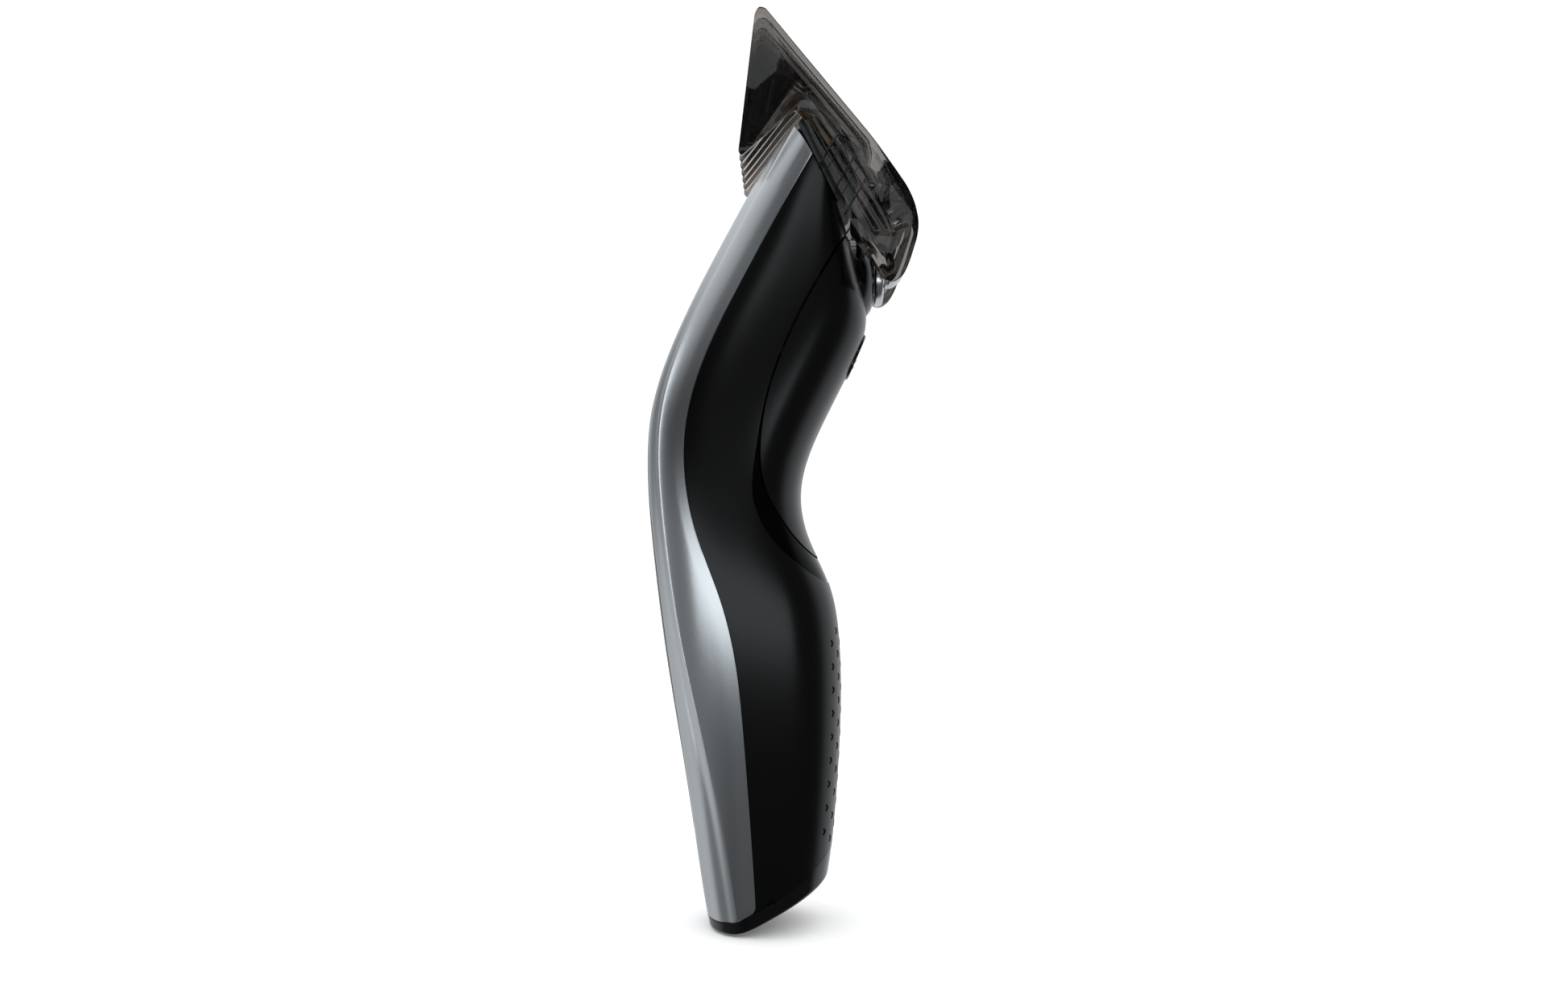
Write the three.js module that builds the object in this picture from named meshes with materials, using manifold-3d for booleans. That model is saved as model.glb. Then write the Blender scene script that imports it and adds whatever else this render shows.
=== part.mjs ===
// Cordless hair clipper with a length-setting dial and a clip-on comb. Millimetres, +Z up, +X to the front
// (the side with the dial and the button), Y across the width. The clipper stands on the flat foot of its
// bottom cap, and the origin is on the ground under the middle of its box.
import * as THREE from 'three';
import { mergeVertices } from 'three/addons/utils/BufferGeometryUtils.js';
import Module from 'manifold-3d';

const wasm = await Module();
wasm.setup();

// ---------------------------------------------------------------- driving dimensions
const ORIGIN_SHIFT = 1.1;        // moves the side profile so that the origin is under the middle of the box
const GAP = 0.3;                 // seam between two pieces that touch
const WALL = 1.8;                // thickness of the outer shells
const LINER = 3.2;               // inset of the chassis from the outer surface
const REACH = 60;                // half-length of a cutting prism, larger than the clipper is wide

const NECK = new THREE.Vector3(0.5, 0, 0.8660254);          // the neck, the motor and the comb's slide
const ACROSS_NECK = new THREE.Vector3(0.8660254, 0, -0.5);  // square to the neck, to the front
const FACE_TOP = new THREE.Vector3(2.5, 0, 169.2);          // top end of the head's sloping face
const FACE_OUT = new THREE.Vector3(0.893, 0, 0.45);         // outward normal of that face
const BLADE_TIP = new THREE.Vector3(4.6, 0, 174.5);         // tips of the fixed blade's teeth
const BLADE_DIR = new THREE.Vector3(-0.635, 0, 0.7725);     // the way the blade's teeth point
const BLADE_OUT = new THREE.Vector3(0.7725, 0, 0.635);      // from the blade towards the skin

const UNIT_HALF = 20;            // half-width of the cutting unit
const COMB_HALF = 23;            // half-width over the comb's side walls
const COMB_WALL = 1.3;
const TOOTH_COUNT = 7;           // comb teeth, the two side walls included
const TOOTH_THICK = 1.2;

const DIAL_Z = 141;              // the dial's axis runs along X at this height
const DIAL_RADIUS = 7.1;
const BLADE_SCREW_Y = 11.2;      // each side, between two comb teeth
const PLATE_SCREW_Y = 14.5;
const PINION_TEETH = 10;
const PINION_RADIUS = 3;         // pitch radius
const RACK_PITCH = 2 * Math.PI * PINION_RADIUS / PINION_TEETH;
const RACK_X = [10, 13.5];       // where the rack bar crosses the dial's height
const RACK_BELOW = 17.5;         // toothed height below the dial's axis
const RACK_ABOVE = 13;

const MOTOR_TIP = new THREE.Vector3(8.6, 0, 161);           // middle of the crank pin, on the motor's axis
const MOTOR_RADIUS = 8;
const CRANK_THROW = 1.2;         // half the blade's stroke

const BUTTON_CENTRE = new THREE.Vector3(15.7, 0, 122.6);
const BUTTON_OUT = new THREE.Vector3(0.918, 0, -0.397);
const BUTTON_UP = new THREE.Vector3(0.397, 0, 0.918);
const BUTTON_SIZE = [7.6, 8.4];  // along the handle and across it

const BATTERY_RADIUS = 7;
const BATTERY_LENGTH = 48;

// ---------------------------------------------------------------- materials
const finish = (color, roughness, metalness, extra = {}) =>
  new THREE.MeshStandardMaterial({ color, roughness, metalness, ...extra });
const satinSilver = finish(0xb9bec2, 0.3, 0.9);
const satinBlack = finish(0x1c1f22, 0.45, 0.05);
const graphite = finish(0x15171a, 0.35, 0.1);
const glossBlack = finish(0x0a0a0b, 0.12, 0.05);
const smokyClear = finish(0x4c4846, 0.12, 0, { transparent: true, opacity: 0.55 });
const steel = finish(0xc4c7ca, 0.25, 1);
const goldCoat = finish(0xc8963a, 0.3, 1);
const innerPlastic = finish(0x2a2c2e, 0.7, 0);
const sealRubber = finish(0x3a3d40, 0.85, 0);
const boardGreen = finish(0x1f5a36, 0.55, 0);
const cellWrap = finish(0x2f6fae, 0.4, 0);
const brassMetal = finish(0xc9a24a, 0.35, 1);
const lampClear = finish(0xe6ebee, 0.2, 0);

const group = new THREE.Group();
group.position.x = ORIGIN_SHIFT;

// ---------------------------------------------------------------- joining and cutting
// Six times the volume inside a closed indexed geometry, negative when its faces point inwards.
function signedVolume(geometry) {
  const { position } = geometry.attributes;
  const corner = [0, 1, 2].map(() => new THREE.Vector3());
  let sum = 0;
  for (let i = 0; i < geometry.index.count; i += 3) {
    corner.forEach((v, k) => v.fromBufferAttribute(position, geometry.index.getX(i + k)));
    sum += corner[0].dot(corner[1].clone().cross(corner[2]));
  }
  return sum;
}

// A closed geometry as a solid with its faces pointing out.
function solid(geometry) {
  const bare = geometry.clone();
  bare.deleteAttribute('normal');
  bare.deleteAttribute('uv');
  const merged = mergeVertices(bare, 1e-4);
  const triangles = new Uint32Array(merged.index.array);
  if (signedVolume(merged) < 0) triangles.reverse();
  return new wasm.Manifold(new wasm.Mesh({
    numProp: 3,
    vertProperties: new Float32Array(merged.attributes.position.array),
    triVerts: triangles,
  }));
}

const join = (...solids) => solids.reduce((a, b) => a.add(b));
const cut = (body, ...tools) => tools.reduce((a, b) => a.subtract(b), body);

function addNode(name, shape, material) {
  let geometry = shape;
  if (!shape.isBufferGeometry) {
    const mesh = shape.getMesh();
    geometry = new THREE.BufferGeometry();
    geometry.setAttribute('position', new THREE.BufferAttribute(new Float32Array(mesh.vertProperties), 3));
    geometry.setIndex(new THREE.BufferAttribute(new Uint32Array(mesh.triVerts), 1));
    geometry.computeVertexNormals();
  }
  const node = new THREE.Mesh(geometry, material);
  node.name = name;
  group.add(node);
}

// ---------------------------------------------------------------- simple solids
const outlineShape = (points) => new THREE.Shape(points.map(([x, y]) => new THREE.Vector2(x, y)));

// A side-view outline of [x, z] points, extruded across the width from y0 to y1.
function sidePrism(points, y0, y1) {
  const geometry = new THREE.ExtrudeGeometry(outlineShape(points), { depth: y1 - y0, bevelEnabled: false });
  geometry.rotateX(Math.PI / 2);
  geometry.translate(0, y1, 0);
  return solid(geometry);
}

// A front-view outline of [y, z] points, extruded along X from x0 to x1.
function frontPrism(points, x0, x1) {
  const geometry = new THREE.ExtrudeGeometry(outlineShape(points), { depth: x1 - x0, bevelEnabled: false });
  geometry.applyMatrix4(new THREE.Matrix4().makeBasis(
    new THREE.Vector3(0, 1, 0), new THREE.Vector3(0, 0, 1), new THREE.Vector3(1, 0, 0)));
  geometry.translate(x0, 0, 0);
  return solid(geometry);
}

// Turns a geometry so that its local z lies along zDir in the side plane, and moves it to origin.
function place(geometry, origin, zDir) {
  const y = new THREE.Vector3(0, 1, 0);
  const x = new THREE.Vector3().crossVectors(y, zDir);
  const matrix = new THREE.Matrix4().makeBasis(x, y, zDir).setPosition(origin);
  return geometry.clone().applyMatrix4(matrix);
}

const box = (origin, zDir, sizeX, sizeY, sizeZ) =>
  solid(place(new THREE.BoxGeometry(sizeX, sizeY, sizeZ), origin, zDir));

// A turned shape: [radius, along] points that start and end on the axis, or close on themselves.
function turned(points, segments, origin, zDir) {
  const geometry = new THREE.LatheGeometry(points.map(([r, h]) => new THREE.Vector2(r, h)), segments);
  geometry.rotateX(Math.PI / 2);
  return solid(place(geometry, origin, zDir));
}

const disc = (radius, from, to, segments, origin, zDir) =>
  turned([[0, from], [radius, from], [radius, to], [0, to]], segments, origin, zDir);

const along = (origin, direction, distance) => origin.clone().addScaledVector(direction, distance);

const sideAt = ([x, z], y) => new THREE.Vector3(x, y, z);

// A side-view point from its distance back from the blade's tips and down from the blade's outer face.
function bladePoint(back, down) {
  const p = along(along(BLADE_TIP, BLADE_DIR, -back), BLADE_OUT, -down);
  return [p.x, p.z];
}

// A side-view point from its distance down the head's face and out from it.
function facePoint(down, out) {
  const p = along(along(FACE_TOP, new THREE.Vector3(FACE_OUT.z, 0, -FACE_OUT.x), down), FACE_OUT, out);
  return [p.x, p.z];
}

// ---------------------------------------------------------------- outer form of the body
// Each station is a chord across the side profile: back point, front point, half-width.
const STATIONS = [
  { back: [-15.2, -4], front: [8.4, 5], half: 13.6 },
  { back: [-17.0, 4], front: [10.1, 14.5], half: 15 },
  { back: [-18.6, 14.6], front: [10.9, 22], half: 16.2 },
  { back: [-20.5, 28.6], front: [11.7, 32], half: 17.4 },
  { back: [-22.9, 43], front: [12.3, 43], half: 18.4 },
  { back: [-25.6, 59], front: [12.5, 55], half: 19.2 },
  { back: [-27.5, 74], front: [11.6, 69], half: 19.6 },
  { back: [-28.8, 86], front: [8.6, 77], half: 19.6 },
  { back: [-29.5, 96], front: [5.2, 83], half: 19.4 },
  { back: [-29.4, 107], front: [3.0, 92], half: 19.3 },
  { back: [-27.7, 116], front: [5.0, 101], half: 19.4 },
  { back: [-24.0, 126], front: [9.3, 110], half: 19.8 },
  { back: [-18.3, 138], front: [13.9, 119], half: 20.2 },
  { back: [-11.5, 150.5], front: [18.9, 129], half: 20.7 },
  { back: [-5.2, 162], front: [16.4, 139], half: 21 },
  { back: [1.3, 171.6], front: [13.6, 147.2], half: 21 },
];
const SQUARENESS = 2.5;          // exponent of the body's rounded cross-section

// A closed loft through the stations, moved inwards by inset and carried past both ends by past.
function bodyForm(inset, rows, columns, past = 0) {
  const backLine = [];
  const frontLine = [];
  const halfLine = [];
  STATIONS.forEach(({ back, front, half }, i) => {
    const a = new THREE.Vector3(back[0], 0, back[1]);
    const b = new THREE.Vector3(front[0], 0, front[1]);
    const inward = b.clone().sub(a).normalize().multiplyScalar(inset);
    a.add(inward);
    b.sub(inward);
    if (i === STATIONS.length - 1) {
      a.addScaledVector(FACE_OUT, past);
      b.addScaledVector(FACE_OUT, past);
    }
    if (i === 0) {
      a.z -= past;
      b.z -= past;
    }
    backLine.push(a);
    frontLine.push(b);
    halfLine.push(new THREE.Vector3(half - inset, 0, 0));
  });
  const curves = [backLine, frontLine, halfLine].map(
    (line) => new THREE.CatmullRomCurve3(line, false, 'catmullrom', 0.5));
  const positions = [];
  const power = 2 / SQUARENESS;
  for (let i = 0; i <= rows; i += 1) {
    const [a, b, half] = curves.map((curve) => curve.getPoint(i / rows));
    const centre = a.clone().add(b).multiplyScalar(0.5);
    const reach = b.clone().sub(a).multiplyScalar(0.5);
    for (let j = 0; j < columns; j += 1) {
      const angle = (2 * Math.PI * j) / columns;
      const c = -Math.cos(angle);
      const s = Math.sin(angle);
      const p = centre.clone().addScaledVector(reach, Math.sign(c) * Math.abs(c) ** power);
      positions.push(p.x, half.x * Math.sign(s) * Math.abs(s) ** power, p.z);
    }
  }
  const index = [];
  for (let i = 0; i < rows; i += 1) {
    for (let j = 0; j < columns; j += 1) {
      const k = (j + 1) % columns;
      const [p, q, r, t] = [i * columns + j, i * columns + k, (i + 1) * columns + k, (i + 1) * columns + j];
      index.push(p, r, q, p, t, r);
    }
  }
  for (let j = 1; j < columns - 1; j += 1) {
    index.push(0, j, j + 1);
    index.push(rows * columns, rows * columns + j + 1, rows * columns + j);
  }
  const geometry = new THREE.BufferGeometry();
  geometry.setAttribute('position', new THREE.Float32BufferAttribute(positions, 3));
  geometry.setIndex(index);
  return solid(geometry);
}

// Underside of the clipper: a small flat foot at the back, then a slope rising to the front.
const UNDERSIDE = [
  [-19, 3.6], [-16.4, 0.7], [-15, 0], [-10.6, 0], [-8.6, 0.5], [-1.9, 3.9], [5.7, 8.7], [8.6, 11.6], [12, 18],
];
// Seam between the bottom cap and the shells.
const CAP_SEAM = [
  [-40, 2.4], [-13.9, 2.5], [-9.6, 3.3], [-6.4, 5.4], [0, 9.2], [6, 13.4], [12, 20], [40, 44],
];
// Seam between the silver back frame and the black shell, from the head's face down to the cap.
const SILVER_SEAM = [
  [9.4, 168.8], [5.6, 162.2], [-0.8, 151.5], [-8.2, 138], [-15.1, 125], [-20, 112], [-21.2, 99],
  [-18.7, 85], [-12.9, 72], [-9.8, 59], [-8.4, 45.5], [-6.5, 19], [-5.6, 2],
];
// Upper edge of the thumb rest's trim, which is also the front cover's edge: down the groove, then out.
const GROOVE = [[17, 153.6], [13.1, 147.5], [8.1, 139.6], [1.8, 128.6], [-3.4, 116], [-5.2, 106]];
const COVER_SEAM = [
  ...GROOVE, [-5.3, 98.5], [-4, 93.5], [-1.8, 89.4], [1.2, 85], [4.2, 81.6], [8, 78.4], [14, 75], [40, 62],
];
// Lower edge of the trim, where the grip shell starts. It leaves the cover's edge in a point.
const GRIP_SEAM = [
  ...GROOVE, [-6.2, 99], [-6.8, 93], [-4.9, 87.4], [-2.2, 83.2], [2, 79], [7, 75.4], [14, 70.8], [40, 56],
];

// Moves an open line of points sideways, to its left, by a distance.
function shifted(points, distance) {
  return points.map(([x, z], i) => {
    const [x0, z0] = points[Math.max(i - 1, 0)];
    const [x1, z1] = points[Math.min(i + 1, points.length - 1)];
    const length = Math.hypot(x1 - x0, z1 - z0);
    return [x - (distance * (z1 - z0)) / length, z + (distance * (x1 - x0)) / length];
  });
}

function aboveGround(lift) {
  const floor = UNDERSIDE.map(([x, z]) => [x, z + lift]);
  const [, backZ] = floor[0];
  return sidePrism([...floor, [60, 80], [60, 230], [-60, 230], [-60, backZ]], -REACH, REACH);
}
const aboveCapSeam = (lift) =>
  sidePrism([...shifted(CAP_SEAM, lift), [60, 230], [-60, 230]], -REACH, REACH);
const behindSilverSeam = (offset) => sidePrism(
  [...shifted(SILVER_SEAM, offset), [-5.6, -20], [-60, -20], [-60, 230], [9.4, 230]], -REACH, REACH);
const inFrontOf = (seam, offset) => sidePrism([...shifted(seam, offset), [60, 153.6]], -REACH, REACH);

// Half-width of the glossy panels let into the back, by height: a long leaf with blunt ends.
const PANEL = { low: 21, high: 114.5, split: 49.7, half: 7.6 };
function panelOutline(low, high, offset) {
  const steps = 10;
  const right = [];
  for (let i = 0; i <= steps; i += 1) {
    const z = low + ((high - low) * i) / steps;
    const u = (z - PANEL.low) / (PANEL.high - PANEL.low);
    const half = PANEL.half * (4 * (0.04 + 0.92 * u) * (1 - (0.04 + 0.92 * u))) ** 0.55;
    right.push([half + offset, z]);
  }
  right[0][1] -= offset;
  right[steps][1] += offset;
  const left = right.map(([y, z]) => [-y, z]).reverse();
  return [...right, ...left];
}

const outerBody = bodyForm(0, 24, 20).intersect(aboveGround(0));
const hollow = bodyForm(WALL, 15, 14, 4).intersect(aboveGround(2.2));
const shell = cut(outerBody, hollow);
const shellAboveCap = shell.intersect(aboveCapSeam(GAP / 2));
const liner = bodyForm(LINER, 13, 12).intersect(aboveGround(3.2));

// ---------------------------------------------------------------- clearances for what moves
// The rack bar slides along itself, so its path is the bar carried on past both ends.
function rackEnvelope(grow, below, above) {
  const lean = NECK.x / NECK.z;
  const [x0, x1] = RACK_X;
  return [
    [x0 - grow - below * lean, DIAL_Z - below], [x1 + grow - below * lean, DIAL_Z - below],
    [x1 + grow + above * lean, DIAL_Z + above], [x0 - grow + above * lean, DIAL_Z + above],
  ];
}
const rackPath = sidePrism(rackEnvelope(0.5, RACK_BELOW + 2.5, 30), PINION_RADIUS - 0.8, 7);
const X_AXIS = new THREE.Vector3(1, 0, 0);
const dialAxis = new THREE.Vector3(0, 0, DIAL_Z);
const pinionRoom = disc(4.1, 8.6, 20, 24, dialAxis, X_AXIS);
const motorRoom = disc(MOTOR_RADIUS + 0.4, -42, -14, 24, MOTOR_TIP, NECK);
const crankRoom = disc(4.6, -15, 3, 16, MOTOR_TIP, NECK);

// ---------------------------------------------------------------- pod around the dial
const POD_Z = 139.4;
const POD_HALF = [11.4, 8.9];
function podEllipse(grow, x0, x1) {
  const points = [];
  for (let i = 0; i < 28; i += 1) {
    const angle = (2 * Math.PI * i) / 28;
    points.push([(POD_HALF[0] + grow) * Math.cos(angle), POD_Z + (POD_HALF[1] + grow) * Math.sin(angle)]);
  }
  return frontPrism(points, x0, x1);
}
function makePod() {
  const profile = [[0, 11], [1, 11], [1, 15.8], [0.95, 17], [0.84, 18.2], [0.7, 19], [0.5, 19.4], [0, 19.4]];
  const dome = new THREE.LatheGeometry(profile.map(([r, h]) => new THREE.Vector2(r, h)), 28);
  dome.rotateX(Math.PI / 2);
  dome.scale(POD_HALF[1], POD_HALF[0], 1);
  const pod = solid(place(dome, new THREE.Vector3(0, 0, POD_Z), X_AXIS));
  const skin = bodyForm(0, 24, 20, 4);
  const behind = cut(skin, bodyForm(WALL + 0.6, 15, 14, 4));
  const front = pod.intersect(sidePrism([[13.6, 147.2], [13.6, 120], [40, 120], [40, 147.2]], -REACH, REACH));
  const cavity = disc(4.3, 8, 18.4, 20, dialAxis, X_AXIS);
  const kept = join(front.intersect(behind), cut(front, skin));
  return cut(kept, cavity, disc(2.1, 8, 30, 20, dialAxis, X_AXIS), rackPath);
}

// ---------------------------------------------------------------- button and its recess
function ovalPrism(sizeUp, sizeAcross, from, to) {
  const points = [];
  for (let i = 0; i < 20; i += 1) {
    const angle = (2 * Math.PI * i) / 20;
    const [c, s] = [Math.cos(angle), Math.sin(angle)];
    points.push([
      (sizeUp / 2) * Math.sign(c) * Math.abs(c) ** 0.8,
      (sizeAcross / 2) * Math.sign(s) * Math.abs(s) ** 0.8]);
  }
  const geometry = new THREE.ExtrudeGeometry(outlineShape(points), { depth: to - from, bevelEnabled: false });
  geometry.translate(0, 0, from);
  return solid(place(geometry, BUTTON_CENTRE, BUTTON_OUT));
}
const [BUTTON_LONG, BUTTON_WIDE] = BUTTON_SIZE;
const bezelCut = ovalPrism(BUTTON_LONG + 3.4, BUTTON_WIDE + 3.4, -8, 8);
const buttonHole = ovalPrism(BUTTON_LONG + 0.7, BUTTON_WIDE + 0.7, -8, 8);

// ---------------------------------------------------------------- shells
function makeSilverFrame() {
  const frame = shellAboveCap.intersect(behindSilverSeam(-GAP / 2));
  return cut(frame, frontPrism(panelOutline(PANEL.low, PANEL.high, GAP), -REACH, -12.5));
}
function makeBackPanel(low, high) {
  return shellAboveCap.intersect(frontPrism(panelOutline(low, high, 0), -REACH, -12.5));
}
function makeMainShell() {
  const dark = cut(shellAboveCap, behindSilverSeam(GAP / 2), inFrontOf(GRIP_SEAM, -GAP / 2));
  return cut(dark, podEllipse(GAP, 11, 30), rackPath);
}
function makeFrontCover() {
  const cover = shellAboveCap.intersect(inFrontOf(COVER_SEAM, GAP / 2));
  return cut(cover, podEllipse(GAP, 5, 30), bezelCut, lightHole, rackPath);
}
function makeThumbTrim() {
  return cut(shellAboveCap.intersect(inFrontOf(GRIP_SEAM, GAP / 2)), inFrontOf(COVER_SEAM, -GAP / 2));
}
function makeBottomCap() {
  const cap = cut(shell, aboveCapSeam(-GAP / 2));
  return cut(cap, socketPocket);
}

// ---------------------------------------------------------------- charging socket in the bottom cap
const SOCKET_MOUTH = new THREE.Vector3(0.6, 0, 5.4);
const SOCKET_OUT = new THREE.Vector3(0.507, 0, -0.862);
const socketPocket = box(SOCKET_MOUTH, SOCKET_OUT, 7.6, 11.6, 12);
function makeSocket() {
  const body = box(along(SOCKET_MOUTH, SOCKET_OUT, -4.1), SOCKET_OUT, 7, 11, 8);
  return cut(body, box(along(SOCKET_MOUTH, SOCKET_OUT, -2.4), SOCKET_OUT, 4.6, 8.6, 8.4));
}
const socketPin = (y) =>
  disc(0.7, -6.2, -1.6, 10, new THREE.Vector3(SOCKET_MOUTH.x, y, SOCKET_MOUTH.z), SOCKET_OUT);

// ---------------------------------------------------------------- battery indicator
const LAMP = new THREE.Vector3(5.4, 0, 102);
const LAMP_OUT = new THREE.Vector3(0.9, 0, -0.436);
const lightHole = disc(1.7, -4, 4, 14, LAMP, LAMP_OUT);
const lightGuide = disc(1.4, -4.2, 0.1, 14, LAMP, LAMP_OUT);

// ---------------------------------------------------------------- head
// A block against the head's face: down the face and out of it, as wide as twice half.
function faceBlock(down0, down1, out0, out1, half) {
  const corners = [[down0, out0], [down1, out0], [down1, out1], [down0, out1]];
  return sidePrism(corners.map(([down, out]) => facePoint(down, out)), -half, half);
}
const faceSlab = (from, to) => faceBlock(-20, 60, from, to, REACH);
const driveWindow = faceBlock(4.4, 16.6, -8, 2.2, 7.6);
function makeHeadPlate() {
  const plate = bodyForm(WALL + 0.6, 15, 14, 4).intersect(faceSlab(-3.4, -1.6));
  return cut(plate, driveWindow, rackPath, podEllipse(0.4, 5, 40), plateScrewHole(1), plateScrewHole(-1));
}
function makeHeadSeal() {
  return cut(faceBlock(3.6, 17.4, -1.3, -0.1, 10), faceBlock(4.5, 16.5, -3, 2, 8.6));
}
const plateScrewSpot = (side) => {
  const [x, z] = facePoint(9, -1.4);
  return new THREE.Vector3(x, side * PLATE_SCREW_Y, z);
};
const plateScrewHole = (side) => disc(1.3, -6, 6, 12, plateScrewSpot(side), FACE_OUT);
function screw(spot, direction, headRadius, headHeight, shankRadius, length) {
  return turned([
    [0, -length], [shankRadius, -length], [shankRadius, 0], [headRadius, 0], [headRadius, headHeight * 0.6],
    [headRadius * 0.7, headHeight], [0, headHeight]], 12, spot, direction);
}

// ---------------------------------------------------------------- cutting unit
const UNIT_PROFILE = [
  facePoint(0.2, GAP), bladePoint(2.6, 2.8), bladePoint(10.6, 2.8), bladePoint(11, 0.3), [12.9, 163.2],
  [13.7, 160.4], [15.1, 157], [14.8, 155.2], facePoint(18, GAP),
];
const yokeRoom = sidePrism([
  facePoint(2.6, -1), bladePoint(4.2, 1.6), bladePoint(10.4, 1.6), facePoint(14.4, 4.2), facePoint(15.4, -1),
], -8.2, 8.2);
const bladeScrewSpot = (side) => {
  const [x, z] = bladePoint(9, -0.3);
  return new THREE.Vector3(x, side * BLADE_SCREW_Y, z);
};
const bladeScrewHole = (side) => disc(1.15, -6, 3, 12, bladeScrewSpot(side), BLADE_OUT);
const moverSlot = (side) => box(
  along(bladeScrewSpot(side), BLADE_OUT, -1), BLADE_OUT, 3.4, 6.4, 8);

function makeCuttingUnit() {
  const block = sidePrism(UNIT_PROFILE, -UNIT_HALF, UNIT_HALF);
  return cut(block, yokeRoom, bladeScrewHole(1), bladeScrewHole(-1));
}

// A blade lies in its own plane: teeth along the front edge, a straight back edge.
function bladeSolid({ half, teeth, tooth, tipBack, rootBack, endBack, down, thick }) {
  const points = [[endBack, -half], [rootBack, -half]];
  const pitch = (2 * half) / teeth;
  for (let i = 0; i < teeth; i += 1) {
    const y = -half + pitch * (i + 0.5);
    const tip = tooth / 3.2;
    points.push([rootBack, y - tooth / 2], [tipBack, y - tip], [tipBack, y + tip], [rootBack, y + tooth / 2]);
  }
  points.push([rootBack, half], [endBack, half]);
  const geometry = new THREE.ExtrudeGeometry(outlineShape(points), { depth: thick, bevelEnabled: false });
  geometry.applyMatrix4(new THREE.Matrix4().makeBasis(
    BLADE_DIR.clone().negate(), new THREE.Vector3(0, 1, 0), BLADE_OUT));
  const corner = along(BLADE_TIP, BLADE_OUT, -down - thick);
  geometry.translate(corner.x, 0, corner.z);
  return solid(geometry);
}
function makeFixedBlade() {
  const blade = bladeSolid({
    half: UNIT_HALF, teeth: 24, tooth: 0.95, tipBack: 0, rootBack: 4.2, endBack: 10.6, down: 0, thick: 1.1 });
  return cut(blade, bladeScrewHole(1), bladeScrewHole(-1));
}
function makeMovingBlade() {
  const blade = bladeSolid({
    half: UNIT_HALF - 2.2, teeth: 18, tooth: 1, tipBack: 1.2, rootBack: 4.6, endBack: 10, down: 1.4,
    thick: 1 });
  return cut(blade, moverSlot(1), moverSlot(-1));
}
// Fork under the moving blade. Its two prongs reach back on both sides of the crank pin.
function makeYoke() {
  const bridge = sidePrism(
    [bladePoint(5, 2.65), bladePoint(9.6, 2.65), bladePoint(9.6, 4), bladePoint(5.4, 4)], -6.4, 6.4);
  const side = [bladePoint(6, 2.8), bladePoint(9.6, 2.8), bladePoint(11.4, 3.8), bladePoint(14.4, 3.8),
    bladePoint(14.2, 6.2), bladePoint(11.2, 6.2), bladePoint(8.6, 4.8), bladePoint(6, 4.2)];
  return join(bridge, sidePrism(side, 3.9, 6.2), sidePrism(side, -6.2, -3.9));
}
// Wire spring that presses the moving blade: two arms and a cross bar behind the yoke.
function makeBladeSpring() {
  const path = new THREE.CatmullRomCurve3([
    sideAt(bladePoint(9.95, 2.9), -7.4), sideAt(bladePoint(10.8, 2.9), -7.3),
    sideAt(bladePoint(11.7, 2.8), -6), sideAt(bladePoint(11.7, 2.8), 0), sideAt(bladePoint(11.7, 2.8), 6),
    sideAt(bladePoint(10.8, 2.9), 7.3), sideAt(bladePoint(9.95, 2.9), 7.4)]);
  const wire = new THREE.Shape();
  wire.absarc(0, 0, 0.3, 0, 2 * Math.PI);
  return solid(new THREE.ExtrudeGeometry(
    wire, { extrudePath: path, steps: 16, curveSegments: 6, bevelEnabled: false }));
}

// ---------------------------------------------------------------- motor
const motorPart = (points, segments = 24) => turned(points, segments, MOTOR_TIP, NECK);
function makeMotorCan() {
  return motorPart([[1.6, -15.4], [3.2, -15.4], [3.2, -14.4], [1.6, -14.4], [1.6, -15.4]], 20).add(motorPart([
    [1.6, -16.2], [MOTOR_RADIUS - 0.8, -16.2], [MOTOR_RADIUS - 0.8, -36], [MOTOR_RADIUS, -36],
    [MOTOR_RADIUS, -15.8], [MOTOR_RADIUS - 0.5, -15.3], [1.6, -15.3], [1.6, -16.2]]));
}
const makeMotorEndCap = () => motorPart([
  [1.6, -36.3], [MOTOR_RADIUS - 0.2, -36.3], [MOTOR_RADIUS - 0.2, -38], [3, -38], [3, -39], [1.6, -39],
  [1.6, -36.3]]);
const makeRotor = () => motorPart([
  [1.3, -19], [6, -19], [6, -31], [3, -31], [3, -34.6], [1.3, -34.6], [1.3, -19]], 18);
const makeShaft = () => motorPart([[0, -38.6], [1, -38.6], [1, -12], [0, -12]], 12);
function makeCrank() {
  const wheel = motorPart([[0, -11.7], [3.4, -11.7], [3.4, -9.2], [0, -9.2]], 18);
  const pinAxis = along(MOTOR_TIP, ACROSS_NECK, CRANK_THROW);
  return join(wheel, disc(0.8, -9.4, 1.6, 12, pinAxis, NECK));
}
const motorTerminal = (side) => {
  const spot = along(MOTOR_TIP, NECK, -40);
  spot.y = side * 4.4;
  return box(spot, NECK, 2, 0.5, 3.2);
};

// ---------------------------------------------------------------- battery, boards and switch
const BATTERY_FOOT = new THREE.Vector3(-5, 0, 22.5);
const BATTERY_UP = new THREE.Vector3(-0.052, 0, 0.9986);
const batteryRoom = disc(BATTERY_RADIUS + 0.5, -2.5, BATTERY_LENGTH + 3.5, 20, BATTERY_FOOT, BATTERY_UP);
const makeBattery = () => turned([
  [0, 0], [BATTERY_RADIUS - 0.4, 0], [BATTERY_RADIUS, 0.5], [BATTERY_RADIUS, BATTERY_LENGTH - 1.2],
  [BATTERY_RADIUS - 0.6, BATTERY_LENGTH - 0.4], [2.6, BATTERY_LENGTH - 0.4], [2.6, BATTERY_LENGTH + 0.8],
  [0, BATTERY_LENGTH + 0.8]], 24, BATTERY_FOOT, BATTERY_UP);
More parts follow.
